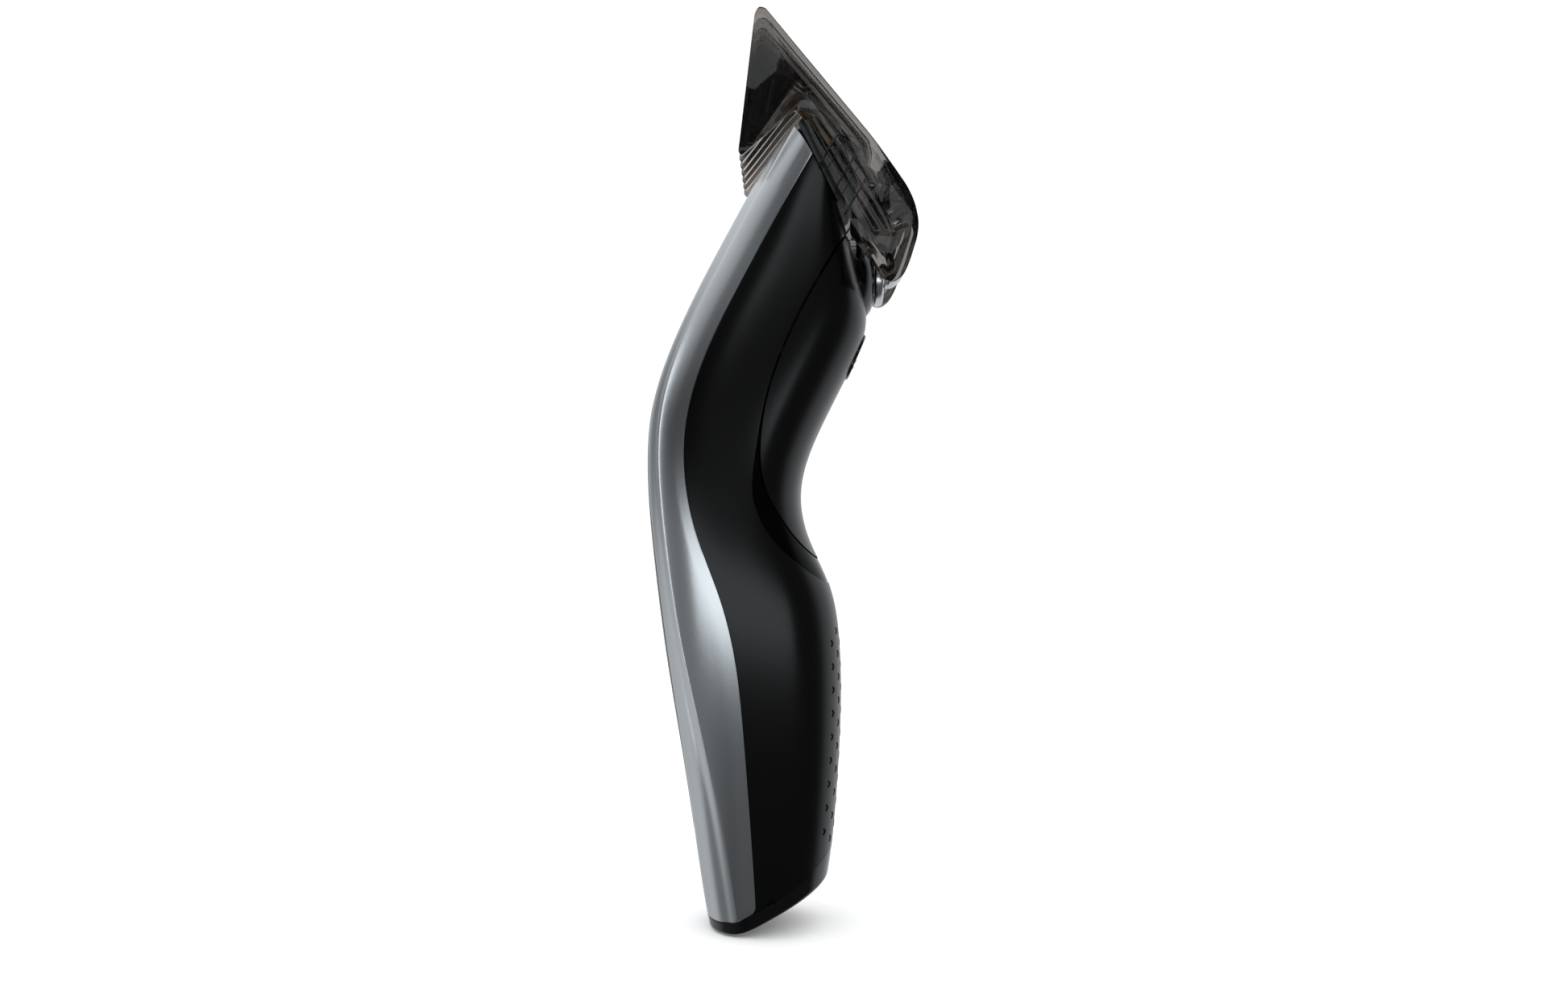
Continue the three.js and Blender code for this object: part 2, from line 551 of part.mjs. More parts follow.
// An L-shaped nickel strap on one end of the cell, its foot turned away from the cell.
function batteryTab(height, side) {
  const { x, z } = along(BATTERY_FOOT, BATTERY_UP, height);
  const outline = [
    [x - 4.5, z], [x + 4.5, z], [x + 4.5, z + side * 2], [x + 4.2, z + side * 2], [x + 4.2, z + side * 0.3],
    [x - 4.5, z + side * 0.3]];
  return sidePrism(side > 0 ? outline : outline.reverse(), -2, 2);
}
const UP = new THREE.Vector3(0, 0, 1);
const BOARD_CENTRE = new THREE.Vector3(4.6, 0, 48);
const BOARD_SIZE = [1.2, 18, 50];
const BOARD_HOLE = [6.8, 20];     // fixing holes, to each side of the board's centre and above it
function makeBoard() {
  const board = box(BOARD_CENTRE, UP, ...BOARD_SIZE);
  const hole = (side) => disc(1.2, -3, 3, 10, new THREE.Vector3(
    BOARD_CENTRE.x, side * BOARD_HOLE[0], BOARD_CENTRE.z + BOARD_HOLE[1]), X_AXIS);
  return cut(board, hole(-1), hole(1));
}
const makeSwitchBoard = () =>
  box(along(BUTTON_CENTRE, BUTTON_OUT, -6.6), BUTTON_OUT, 11, 12, 1);
const makeTactSwitch = () => {
  const body = box(along(BUTTON_CENTRE, BUTTON_OUT, -5), BUTTON_OUT, 4.4, 4.4, 1.6);
  return join(body, disc(1.2, -4.3, -3.7, 12, BUTTON_CENTRE, BUTTON_OUT));
};
function makeButton() {
  const cap = ovalPrism(BUTTON_LONG, BUTTON_WIDE, -1.6, 0.5);
  const stem = disc(1.6, -2.6, -1.5, 12, BUTTON_CENTRE, BUTTON_OUT);
  const ridge = (up) => box(
    along(along(BUTTON_CENTRE, BUTTON_OUT, 0.55), BUTTON_UP, up), BUTTON_OUT, 0.6, 4.2, 0.5);
  return join(cap, stem, ridge(-0.8), ridge(-2.3));
}
function makeBezel() {
  const ring = ovalPrism(BUTTON_LONG + 2.8, BUTTON_WIDE + 2.8, -2.2, 0.6);
  const trimmed = ring.intersect(bodyForm(-0.25, 24, 20));
  return cut(trimmed, buttonHole);
}

// ---------------------------------------------------------------- dial, pinion and rack
const dialPart = (points, segments) => turned(points, segments, dialAxis, X_AXIS);
const makeDialRing = () => dialPart([
  [5.2, 19.7], [DIAL_RADIUS, 19.7], [DIAL_RADIUS, 20.9], [DIAL_RADIUS - 0.6, 21.4], [5.5, 21.4], [5.2, 21.1],
  [5.2, 19.7]], 32);
const makeDialCap = () => dialPart([[0, 19.7], [4.9, 19.7], [4.9, 20.8], [4, 21.2], [0, 20.9]], 28);
// A gear's outline round the dial's axis. share is how much of the pitch a tooth fills.
function gearOutline(teeth, radius, tipOut, rootIn, share) {
  const points = [];
  for (let i = 0; i < teeth; i += 1) {
    const middle = (2 * Math.PI * i) / teeth;
    const half = (Math.PI / teeth) * share;
    const [root, tip] = [radius - rootIn, radius + tipOut];
    [[-1.45, root], [-0.55, tip], [0.55, tip], [1.45, root]].forEach(([k, r]) => {
      points.push([r * Math.cos(middle + k * half), DIAL_Z + r * Math.sin(middle + k * half)]);
    });
  }
  return points;
}
function makeDialShaft() {
  const teeth = gearOutline(PINION_TEETH, PINION_RADIUS, 0.42, 0.6, 0.6);
  const pinion = frontPrism(teeth, RACK_X[0] + 0.2, RACK_X[1] - 0.3);
  return join(pinion, disc(1.8, 9.2, 19.4, 16, dialAxis, X_AXIS));
}
function makeCarrier() {
  const [tip, root, back] = [PINION_RADIUS - 0.4, PINION_RADIUS + 0.62, 6.4];
  const outline = [[back, DIAL_Z - RACK_BELOW], [root, DIAL_Z - RACK_BELOW]];
  const [toothFoot, toothCrest] = [0.3 * RACK_PITCH, 0.11 * RACK_PITCH];
  const first = -Math.floor(RACK_BELOW / RACK_PITCH) + 0.5;
  for (let k = first; k * RACK_PITCH < 3.5; k += 1) {
    const z = DIAL_Z + k * RACK_PITCH;
    outline.push([root, z - toothFoot], [tip, z - toothCrest], [tip, z + toothCrest], [root, z + toothFoot]);
  }
  outline.push([root, DIAL_Z + RACK_ABOVE], [back, DIAL_Z + RACK_ABOVE]);
  const bar = frontPrism(outline, -10, 40).intersect(sidePrism(rackEnvelope(0, 30, 30), 0, 10));
  const bridge = box(CARRIER_BRIDGE, NECK, 4, 28, 3);
  return join(bar, bridge);
}
const CARRIER_BRIDGE = new THREE.Vector3(19.3, 0, 152.9);

// ---------------------------------------------------------------- comb
const COMB_TIP = [[-6, 190.5], [-5.6, 191.6], [-4.8, 192], [-3.8, 191.8]];
const COMB_SKIN = [[1.8, 185], [14.3, 170], [18.6, 164.8], [22.7, 159], [25.2, 155.4]];
const COMB_HEEL = [
  [26.7, 152], [27.4, 148.6], [27.2, 145.6], [25.6, 140.4], [24.4, 137.6], [22.6, 136.2], [20.8, 136.2]];
const COMB_CORNER = [[-8.6, 161.8], [-9.3, 162.6]];
function makeComb() {
  const outer = COMB_HALF;
  const inner = COMB_HALF - COMB_WALL;
  const wall = [
    ...COMB_TIP, ...COMB_SKIN, ...COMB_HEEL, [13.4, 145.9], facePoint(22.5, 0.9), facePoint(0.6, 1.4),
    [2, 171.2], ...COMB_CORNER];
  // The teeth fill the wedge from the skin's edge down to the blades, the carrier and the dial.
  const tooth = [
    ...COMB_TIP, ...COMB_SKIN, [26.6, 152.2], [26.9, 149.8], [25.4, 149], [22.9, 150.4], [22.6, 153.9],
    [18.5, 156.6], [17, 161.6], [13.4, 167.2], [6.4, 175.9], [5.2, 177.4], [3.4, 176.6], [0.6, 173.7],
    ...COMB_CORNER];
  const pitch = (2 * COMB_HALF - COMB_WALL) / (TOOTH_COUNT - 1);
  const pieces = [sidePrism(wall, inner, outer), sidePrism(wall, -outer, -inner)];
  for (let i = 1; i < TOOTH_COUNT - 1; i += 1) {
    const y = -COMB_HALF + COMB_WALL / 2 + i * pitch;
    pieces.push(sidePrism(tooth, y - TOOTH_THICK / 2, y + TOOTH_THICK / 2));
  }
  // The heel web crosses the width above the dial, and goes on down on both sides of it.
  const webTop = [
    [21.4, 160.9], [22.7, 159], [25.2, 155.4], [26.6, 152.2], [25, 151.7], [23.8, 154.6], [21.1, 158.4],
    [20.2, 159.9]];
  pieces.push(sidePrism(webTop, -inner, inner));
  const webLow = [
    [26.6, 152.2], ...COMB_HEEL.slice(1), [21, 137.6], [22.3, 137.7], [23.2, 138.6], [24.2, 141],
    [25.8, 145.8], [26, 148.4], [25, 151.7]];
  pieces.push(sidePrism(webLow, 11, inner), sidePrism(webLow, -inner, -11));
  // Guide rails stepped along the head's face, and two pads that clip onto the carrier.
  const rail = [
    facePoint(0.4, 3.4), [4.9, 174], [11, 166.4], [12.1, 164.7], [14.1, 161.5], [15.2, 159.7], [16.7, 157.1],
    [22.8, 146.8], [20.6, 141.6], facePoint(24, 2.2)];
  pieces.push(sidePrism(rail, inner - 1.3, inner), sidePrism(rail, -inner, -inner + 1.3));
  const pad = [[25.4, 152.8], [24.4, 154.4], [22.3, 153.2], [22.9, 151.3]];
  pieces.push(sidePrism(pad, 7.5, 13), sidePrism(pad, -13, -7.5));
  return join(...pieces);
}

// ---------------------------------------------------------------- chassis
function makeChassis() {
  const plateOutline = [[-REACH, 24], [REACH, 24], [REACH, 146], [-REACH, 146]];
  const sidePlate = (y0, y1) => liner.intersect(sidePrism(plateOutline, y0, y1));
  const rib = (x, z, dir, thick) => liner.intersect(box(new THREE.Vector3(x, 0, z), dir, 90, 90, thick));
  const solidParts = join(
    sidePlate(10.2, 11.6), sidePlate(-11.6, -10.2),
    rib(-5, 26, UP, 1.6), rib(-6, 48, UP, 1.6), rib(-7.2, 76, UP, 1.6),
    rib(-12, 98, UP, 1.6), rib(-9, 128, NECK, 1.6), rib(-0.4, 142, NECK, 1.6));
  const boardRoom = box(BOARD_CENTRE, UP, BOARD_SIZE[0] + 1.2, BOARD_SIZE[1] + 1, BOARD_SIZE[2] + 2);
  const switchRoom = box(along(BUTTON_CENTRE, BUTTON_OUT, -4.4), BUTTON_OUT, 13, 14, 8);
  const frontRoom = sidePrism([[5.5, 20], [30, 20], [30, 74], [5.5, 74]], -REACH, REACH);
  return cut(solidParts, motorRoom, crankRoom, batteryRoom, boardRoom, switchRoom, frontRoom, rackPath,
    pinionRoom, podEllipse(0.6, 6, 40), faceSlab(-4, 20), bezelCut, lightRoom);
}
const lightRoom = disc(2.2, -7, 6, 12, LAMP, LAMP_OUT);

// ---------------------------------------------------------------- assembly
addNode('main_shell', makeMainShell(), satinBlack);
addNode('silver_frame', makeSilverFrame(), satinSilver);
addNode('front_cover', makeFrontCover(), graphite);
addNode('back_panel_upper', makeBackPanel(PANEL.split + GAP / 2, PANEL.high), glossBlack);
addNode('back_panel_lower', makeBackPanel(PANEL.low, PANEL.split - GAP / 2), glossBlack);
addNode('bottom_cap', makeBottomCap(), glossBlack);
addNode('thumb_trim', makeThumbTrim(), glossBlack);
addNode('dial_pod', makePod(), glossBlack);
addNode('button_bezel', makeBezel(), glossBlack);
addNode('power_button', makeButton(), satinBlack);
addNode('light_guide', lightGuide, lampClear);

addNode('chassis', makeChassis(), innerPlastic);
addNode('motor_can', makeMotorCan(), steel);
addNode('motor_end_cap', makeMotorEndCap(), innerPlastic);
addNode('motor_rotor', makeRotor(), brassMetal);
addNode('motor_shaft', makeShaft(), steel);
addNode('drive_crank', makeCrank(), innerPlastic);
addNode('motor_terminal_left', motorTerminal(-1), brassMetal);
addNode('motor_terminal_right', motorTerminal(1), brassMetal);
addNode('battery_cell', makeBattery(), cellWrap);
addNode('battery_tab_low', batteryTab(-0.6, -1), steel);
addNode('battery_tab_high', batteryTab(BATTERY_LENGTH + 1.4, 1), steel);
addNode('circuit_board', makeBoard(), boardGreen);
addNode('switch_board', makeSwitchBoard(), boardGreen);
addNode('tact_switch', makeTactSwitch(), steel);
addNode('charging_socket', makeSocket(), innerPlastic);
addNode('charging_pin_left', socketPin(-2.2), brassMetal);
addNode('charging_pin_right', socketPin(2.2), brassMetal);

addNode('head_plate', makeHeadPlate(), innerPlastic);
addNode('head_seal', makeHeadSeal(), sealRubber);
addNode('plate_screw_left', screw(plateScrewSpot(-1), FACE_OUT, 1.9, 1.1, 1, 4), steel);
addNode('plate_screw_right', screw(plateScrewSpot(1), FACE_OUT, 1.9, 1.1, 1, 4), steel);
addNode('cutting_unit', makeCuttingUnit(), satinBlack);
addNode('fixed_blade', makeFixedBlade(), steel);
addNode('moving_blade', makeMovingBlade(), goldCoat);
addNode('drive_yoke', makeYoke(), goldCoat);
addNode('blade_spring', makeBladeSpring(), steel);
addNode('blade_screw_left', screw(bladeScrewSpot(-1), BLADE_OUT, 1.7, 0.7, 0.9, 4.6), steel);
addNode('blade_screw_right', screw(bladeScrewSpot(1), BLADE_OUT, 1.7, 0.7, 0.9, 4.6), steel);

addNode('dial_ring', makeDialRing(), steel);
addNode('dial_cap', makeDialCap(), glossBlack);
addNode('dial_shaft', makeDialShaft(), innerPlastic);
addNode('comb_carrier', makeCarrier(), satinBlack);
addNode('comb', makeComb(), smokyClear);

export default group;
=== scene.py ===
import math

import bmesh
import bpy
import numpy as np
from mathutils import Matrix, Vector


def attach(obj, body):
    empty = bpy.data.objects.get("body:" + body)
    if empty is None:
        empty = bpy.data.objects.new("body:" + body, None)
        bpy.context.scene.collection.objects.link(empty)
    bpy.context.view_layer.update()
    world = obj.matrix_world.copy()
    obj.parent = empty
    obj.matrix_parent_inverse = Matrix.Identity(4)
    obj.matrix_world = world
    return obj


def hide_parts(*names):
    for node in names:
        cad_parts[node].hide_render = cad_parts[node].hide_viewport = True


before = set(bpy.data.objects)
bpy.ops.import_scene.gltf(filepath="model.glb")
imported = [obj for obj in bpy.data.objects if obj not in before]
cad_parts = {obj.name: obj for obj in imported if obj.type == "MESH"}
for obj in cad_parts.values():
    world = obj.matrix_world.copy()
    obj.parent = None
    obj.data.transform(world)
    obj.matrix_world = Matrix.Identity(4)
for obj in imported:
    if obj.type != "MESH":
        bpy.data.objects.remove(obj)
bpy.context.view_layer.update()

# The clipper's own side-view numbers are in millimetres: x to the front, y across, z up. The frame's origin
# is under the middle of the box, ORIGIN_SHIFT behind the zero of the side view.
MM = 0.001
ORIGIN_SHIFT = 1.1
SEAM = 0.16          # visible gap between two shells
WALL = 1.3           # thickness of the outer shells
SQUARENESS = 2.5     # exponent of the rounded cross-section
SHARP_DEGREES = 35   # an edge that turns by more than this is rounded
POWER = 2 / SQUARENESS

# Chords across the side profile, foot to head: back x, back z, front x, front z, half-width.
STATIONS = np.array([
    (-15.2, -4, 8.4, 5, 13.6),
    (-17.0, 4, 10.1, 14.5, 15.0),
    (-18.6, 14.6, 10.9, 22, 16.2),
    (-20.5, 28.6, 11.7, 32, 17.4),
    (-22.9, 43, 12.3, 43, 18.4),
    (-25.6, 59, 12.5, 55, 19.2),
    (-27.5, 74, 11.6, 69, 19.6),
    (-28.8, 86, 8.6, 77, 19.6),
    (-29.5, 96, 5.2, 83, 19.4),
    (-29.4, 107, 3.0, 92, 19.3),
    (-27.7, 116, 5.0, 101, 19.4),
    (-24.0, 126, 9.3, 110, 19.8),
    (-18.3, 138, 13.9, 119, 20.2),
    (-11.5, 150.5, 18.9, 129, 20.7),
    (-5.2, 162, 16.4, 139, 21.0),
    (1.3, 171.6, 13.6, 147.2, 21.0),
])
T_TOP = len(STATIONS) - 1.0

# Seams in the side view, as (x, z).
CAP_SEAM = [
    (-40, 2.4), (-13.9, 2.5), (-9.6, 3.3), (-6.4, 5.4), (0, 9.2), (6, 13.4), (12, 20), (40, 44),
]
SILVER_SEAM = [
    (9.4, 168.8), (5.6, 162.2), (-0.8, 151.5), (-8.2, 138), (-15.1, 125), (-20, 112), (-21.2, 99),
    (-18.7, 85), (-12.9, 72), (-9.8, 59), (-8.4, 45.5), (-6.5, 19), (-5.6, 2),
]
SILVER_CREASE = [
    (4.4, 172.5), (-1.4, 162), (-9.6, 147), (-17.4, 132.6), (-23.4, 120), (-26.2, 106), (-25.4, 91.5),
    (-22.6, 69), (-18.1, 49), (-13.2, 28), (-9.6, 6), (-9.2, 1),
]
# The front cover's edge. Below the groove it parts from the grip's edge, with the thumb trim between.
GROOVE = [(17, 153.6), (13.1, 147.5), (8.1, 139.6), (1.8, 128.6), (-3.4, 116), (-5.2, 106)]
COVER_SEAM = GROOVE + [
    (-5.3, 98.5), (-4, 93.5), (-1.8, 89.4), (1.2, 85), (4.2, 81.6), (8, 78.4), (14, 75), (40, 62),
]
GRIP_SEAM = GROOVE + [
    (-6.2, 99), (-6.8, 93), (-4.9, 87.4), (-2.2, 83.2), (2, 79), (7, 75.4), (14, 70.8), (40, 56),
]

# The two inlays in the silver back: lower end, the joint between them, upper end and half-width.
PANEL_LOW = 21.0
PANEL_SPLIT = 49.7
PANEL_HIGH = 114.5
PANEL_HALF = 7.6
PANEL_BLUNT = 0.03      # how much of the pointed ends is cut off, as a share of the length
PANEL_TAPER = 0.55      # below 1 the inlays keep their width for longer

NECK = Vector((0.5, 0, 0.8660254))
FACE_TOP = Vector((2.5, 0, 169.2))
FACE_OUT = Vector((0.893, 0, 0.45))
BLADE_TIP = Vector((4.6, 0, 174.5))
BLADE_DIR = Vector((-0.635, 0, 0.7725))
BLADE_OUT = Vector((0.7725, 0, 0.635))
DIAL_Z = 141.0
DIAL_RADIUS = 7.1
BUTTON_CENTRE = Vector((15.7, 0, 122.6))
BUTTON_OUT = Vector((0.918, 0, -0.397))
BUTTON_UP = Vector((0.397, 0, 0.918))
BUTTON_LONG, BUTTON_WIDE = 7.6, 8.4
BEZEL_GROW = 3.2        # how much larger the cover's hole is than the button
COVER_GAP = 0.25        # the groove along the front cover is wider than the other seams
LAMP_AT, LAMP_OUT, LAMP_HOLE = (5.4, 0, 102), (0.9, 0, -0.436), 1.6

# The comb carrier's rack, beside the dial's shaft, and how far the slot for it reaches along the neck.
RACK_X, RACK_Y, RACK_REACH = (10, 13.5), (2.6, 7), (-20, 30)
RACK_PLAY = 0.5

UNIT_HALF, ROOM_HALF = 20, 8.2      # half-widths of the cutting unit and of the drive's room in it

COMB_HALF = 23.0
COMB_WALL = 1.3
TOOTH_COUNT = 7
TOOTH_THICK = 1.2


# ---------- curves and the body's skin
def spline(points, t):
    """Uniform cubic B-spline that starts and ends on its end points. t counts control points."""
    p = np.asarray(points, float)
    p = np.vstack([2 * p[0] - p[1], p, 2 * p[-1] - p[-2]])
    t = np.clip(np.asarray(t, float), 0, len(points) - 1)
    i = np.minimum(t.astype(int), len(points) - 2)
    f = (t - i)[..., None]
    weights = ((1 - f) ** 3, 3 * f ** 3 - 6 * f ** 2 + 4, -3 * f ** 3 + 3 * f ** 2 + 3 * f + 1, f ** 3)
    return sum(w * p[i + k] for k, w in enumerate(weights)) / 6


def dense(points, per_span=16):
    return spline(points, np.linspace(0, len(points) - 1, (len(points) - 1) * per_span + 1))


def side_point(t, fraction):
    """Side-view point on the chord at t: -1 is the back, 1 the front."""
    row = spline(STATIONS, t)
    middle = (row[..., 0:2] + row[..., 2:4]) / 2
    reach = (row[..., 2:4] - row[..., 0:2]) / 2
    return middle + reach * np.asarray(fraction)[..., None]


def fraction_of(phi):
    c = -np.cos(phi)
    return np.sign(c) * np.abs(c) ** POWER


def phi_of(fraction):
    f = np.clip(fraction, -1, 1)
    return np.arccos(-np.sign(f) * np.abs(f) ** (1 / POWER))


def skin(t, phi):
    """Point of the outer skin, in millimetres. phi is 0 along the back and pi along the front."""
    t, phi = np.broadcast_arrays(np.asarray(t, float), np.asarray(phi, float))
    xz = side_point(t, fraction_of(phi))
    s = np.sin(phi)
    half = spline(STATIONS, t)[..., 4]
    return np.stack([xz[..., 0], half * np.sign(s) * np.abs(s) ** POWER, xz[..., 1]], axis=-1)


def skin_normal(t, phi):
    step = 1e-3
    along = skin(t + step, phi) - skin(t - step, phi)
    around = skin(t, phi + step) - skin(t, phi - step)
    n = np.cross(along, around)
    return n / np.maximum(np.linalg.norm(n, axis=-1, keepdims=True), 1e-12)


def crossing(line, ts):
    """Fraction at which each chord crosses a side-view line, 1 where the line has left through the front."""
    line = np.asarray(line, float)
    out = np.ones(len(ts))
    for k, row in enumerate(spline(STATIONS, ts)):
        back, front = row[0:2], row[2:4]
        middle, reach = (back + front) / 2, (front - back) / 2
        normal = np.array([-reach[1], reach[0]])
        side = (line - middle) @ normal
        hits = np.nonzero(side[:-1] * side[1:] <= 0)[0]
        for h in hits:
            share = side[h] / (side[h] - side[h + 1] + 1e-12)
            point = line[h] + share * (line[h + 1] - line[h])
            fraction = (point - middle) @ reach / (reach @ reach)
            if -1.05 < fraction < 1.0:
                out[k] = fraction
                break
    return out


def narrowed(low, high, fraction, height):
    """Narrows low and high to where each fraction line rises above a height that depends on x."""
    for _ in range(30):
        middle = (low + high) / 2
        p = side_point(middle, fraction)
        above = p[..., 1] > height(p[..., 0])
        high = np.where(above, middle, high)
        low = np.where(above, low, middle)
    return low, high


def cap_t(fraction, lift):
    """Where the bottom cap's seam crosses each fraction line."""
    seam = dense(CAP_SEAM)
    low, high = narrowed(np.zeros_like(fraction), np.full_like(fraction, 4.0), fraction,
                         lambda x: np.interp(x, seam[:, 0], seam[:, 1]) + lift)
    return (low + high) / 2


def t_at_back_height(z):
    ts = np.linspace(0, T_TOP, 2000)
    return float(np.interp(z, side_point(ts, np.full_like(ts, -1.0))[:, 1], ts))


# ---------- meshes
def to_frame(points):
    p = np.asarray(points, float)
    return (p + np.array([ORIGIN_SHIFT, 0, 0])) * MM


def new_object(name, vertices, faces):
    mesh = bpy.data.meshes.new(name)
    mesh.from_pydata([tuple(v) for v in vertices], [], faces)
    mesh.validate()
    obj = bpy.data.objects.new(name, mesh)
    bpy.context.scene.collection.objects.link(obj)
    return obj


def weld(obj, distance=2e-6):
    bm = bmesh.new()
    bm.from_mesh(obj.data)
    bmesh.ops.remove_doubles(bm, verts=bm.verts, dist=distance)
    bmesh.ops.dissolve_degenerate(bm, dist=1e-7, edges=bm.edges)
    bm.to_mesh(obj.data)
    bm.free()


def grid_faces(rows, columns, keep=None, wrap=False):
    faces = []
    for i in range(rows - 1):
        here, above = i * columns, (i + 1) * columns
        for j in range(columns if wrap else columns - 1):
            if keep is not None and not keep(i, j):
                continue
            k = (j + 1) % columns
            faces.append((here + j, above + j, above + k, here + k))
    return faces


def joining_faces(rows, count):
    """Joins the last ring of a tube to its first, so that the tube closes on itself."""
    last = (rows - 1) * count
    return [(last + j, j, (j + 1) % count, last + (j + 1) % count) for j in range(count)]


def end_face(rows, count):
    """Closes a tube over its last ring."""
    last = (rows - 1) * count
    return tuple(last + j for j in range(count))


def skin_patch(name, t, phi, keep=None, lift=None):
    """A patch of the body's skin. t may have one column. lift raises the patch, in millimetres."""
    points = skin(t, phi)
    if lift is not None:
        points = points + skin_normal(t, phi) * lift[..., None]
    rows, columns = phi.shape
    return new_object(name, to_frame(points.reshape(-1, 3)), grid_faces(rows, columns, keep))


def shade_smooth(obj):
    obj.data.polygons.foreach_set("use_smooth", [True] * len(obj.data.polygons))
    obj.data.update()


def thicken(obj, edge, thickness=WALL, holes=()):
    """Gives a skin its wall, cuts the holes through it and softens its edges."""
    solid = obj.modifiers.new("wall", "SOLIDIFY")
    solid.thickness = thickness * MM
    solid.offset = -1
    if holes:
        apply_modifiers(obj)
        carved(obj, holes)
    soften(obj, edge)


def soften(obj, edge, segments=3):
    """Rounds the sharp edges by edge millimetres, and keeps the shading of the flats flat."""
    bevel = obj.modifiers.new("edges", "BEVEL")
    bevel.width = edge * MM
    bevel.segments = segments
    bevel.limit_method = "ANGLE"
    bevel.angle_limit = math.radians(SHARP_DEGREES)
    bevel.use_clamp_overlap = True
    weighted = obj.modifiers.new("normals", "WEIGHTED_NORMAL")
    weighted.keep_sharp = True
    weighted.weight = 80


def finish_piece(obj, body, material, slot, *nodes):
    shade_smooth(obj)
    obj.data.materials.clear()
    obj.data.materials.append(material)
    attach(obj, body)
    if nodes:
        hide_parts(*nodes)
    return obj


def rounded(points, radius=1.0, steps=6):
    """A closed outline with each corner replaced by a curve. A corner is (x, z) or (x, z, radius)."""
    out = []
    count = len(points)
    for i, corner in enumerate(points):
        p = np.array(corner[:2], float)
        r = corner[2] if len(corner) > 2 else radius
        a = np.array(points[i - 1][:2], float) - p
        b = np.array(points[(i + 1) % count][:2], float) - p
        la, lb = np.linalg.norm(a), np.linalg.norm(b)
        reach = min(r, la * 0.45, lb * 0.45)
        start, end = p + a / la * reach, p + b / lb * reach
        for k in range(steps + 1):
            u = k / steps
            out.append((1 - u) ** 2 * start + 2 * u * (1 - u) * p + u ** 2 * end)
    return np.array(out)


def extruded(name, outline, low, high, place):
    """A closed outline of 2-D points extruded from low to high. place turns (u, v, w) into x, y, z."""
    n = len(outline)
    vertices = [place(u, v, low) for u, v in outline] + [place(u, v, high) for u, v in outline]
    faces = [tuple(range(n)), tuple(range(2 * n - 1, n - 1, -1))]
    faces += [(i, i + n, (i + 1) % n + n, (i + 1) % n) for i in range(n)]
    obj = new_object(name, to_frame(vertices), faces)
    outward(obj)
    return obj


def side_plate(name, outline, y0, y1):
    """A side-view outline made into a plate between two places across the width."""
    y0, y1 = sorted((y0, y1))
    return extruded(name, outline, y0, y1, lambda x, z, y: (x, y, z))


def turned(name, profile, centre, axis, segments):
    """A surface turned round an axis, from (radius, along) points that end on the axis or close up."""
    axis = Vector(axis).normalized()
    across = Vector((0, 1, 0)) if abs(axis.y) < 0.5 else Vector((1, 0, 0))
    up = axis.cross(across)
    closed = profile[0] == profile[-1]
    ring = profile[:-1] if closed else profile
    vertices = []
    for r, h in ring:
        for k in range(segments):
            a = 2 * math.pi * k / segments
            vertices.append(Vector(centre) + axis * h + across * (r * math.cos(a)) + up * (r * math.sin(a)))
    faces = grid_faces(len(ring), segments, wrap=True)
    if closed:
        faces += joining_faces(len(ring), segments)
    obj = new_object(name, to_frame(vertices), faces)
    weld(obj)
    outward(obj)
    return obj


def outward(obj):
    bm = bmesh.new()
    bm.from_mesh(obj.data)
    bmesh.ops.recalc_face_normals(bm, faces=bm.faces)
    bm.to_mesh(obj.data)
    bm.free()


def combine_with(obj, other, operation):
    boolean = obj.modifiers.new("boolean", "BOOLEAN")
    boolean.operation = operation
    boolean.solver = "EXACT"
    boolean.object = other


def joined(name, objects):
    """One object from several closed ones, united so that no wall is left inside."""
    base = objects[0]
    for other in objects[1:]:
        combine_with(base, other, "UNION")
        apply_modifiers(base)
        bpy.data.objects.remove(other)
    base.name = name
    return base


def carved(obj, cutters):
    for cutter in cutters:
        combine_with(obj, cutter, "DIFFERENCE")
    apply_modifiers(obj)
    for cutter in cutters:
        bpy.data.objects.remove(cutter)
    return obj


def apply_modifiers(obj):
    bpy.context.view_layer.update()
    evaluated = obj.evaluated_get(bpy.context.evaluated_depsgraph_get())
    mesh = bpy.data.meshes.new_from_object(evaluated)
    obj.modifiers.clear()
    obj.data = mesh


# ---------- materials
SLOW_SCALE = 35        # patches of about 30 mm, for the drift in colour and roughness
GRAIN_DEPTH = 0.0002   # metres
LEAST_ROUGHNESS = 0.02


def add_node(nodes, kind, inputs=None):
    """A new shader node. inputs gives some of its inputs a value, by name or number."""
    node = nodes.new("ShaderNode" + kind)
    for key, value in (inputs or {}).items():
        node.inputs[key].default_value = value
    return node


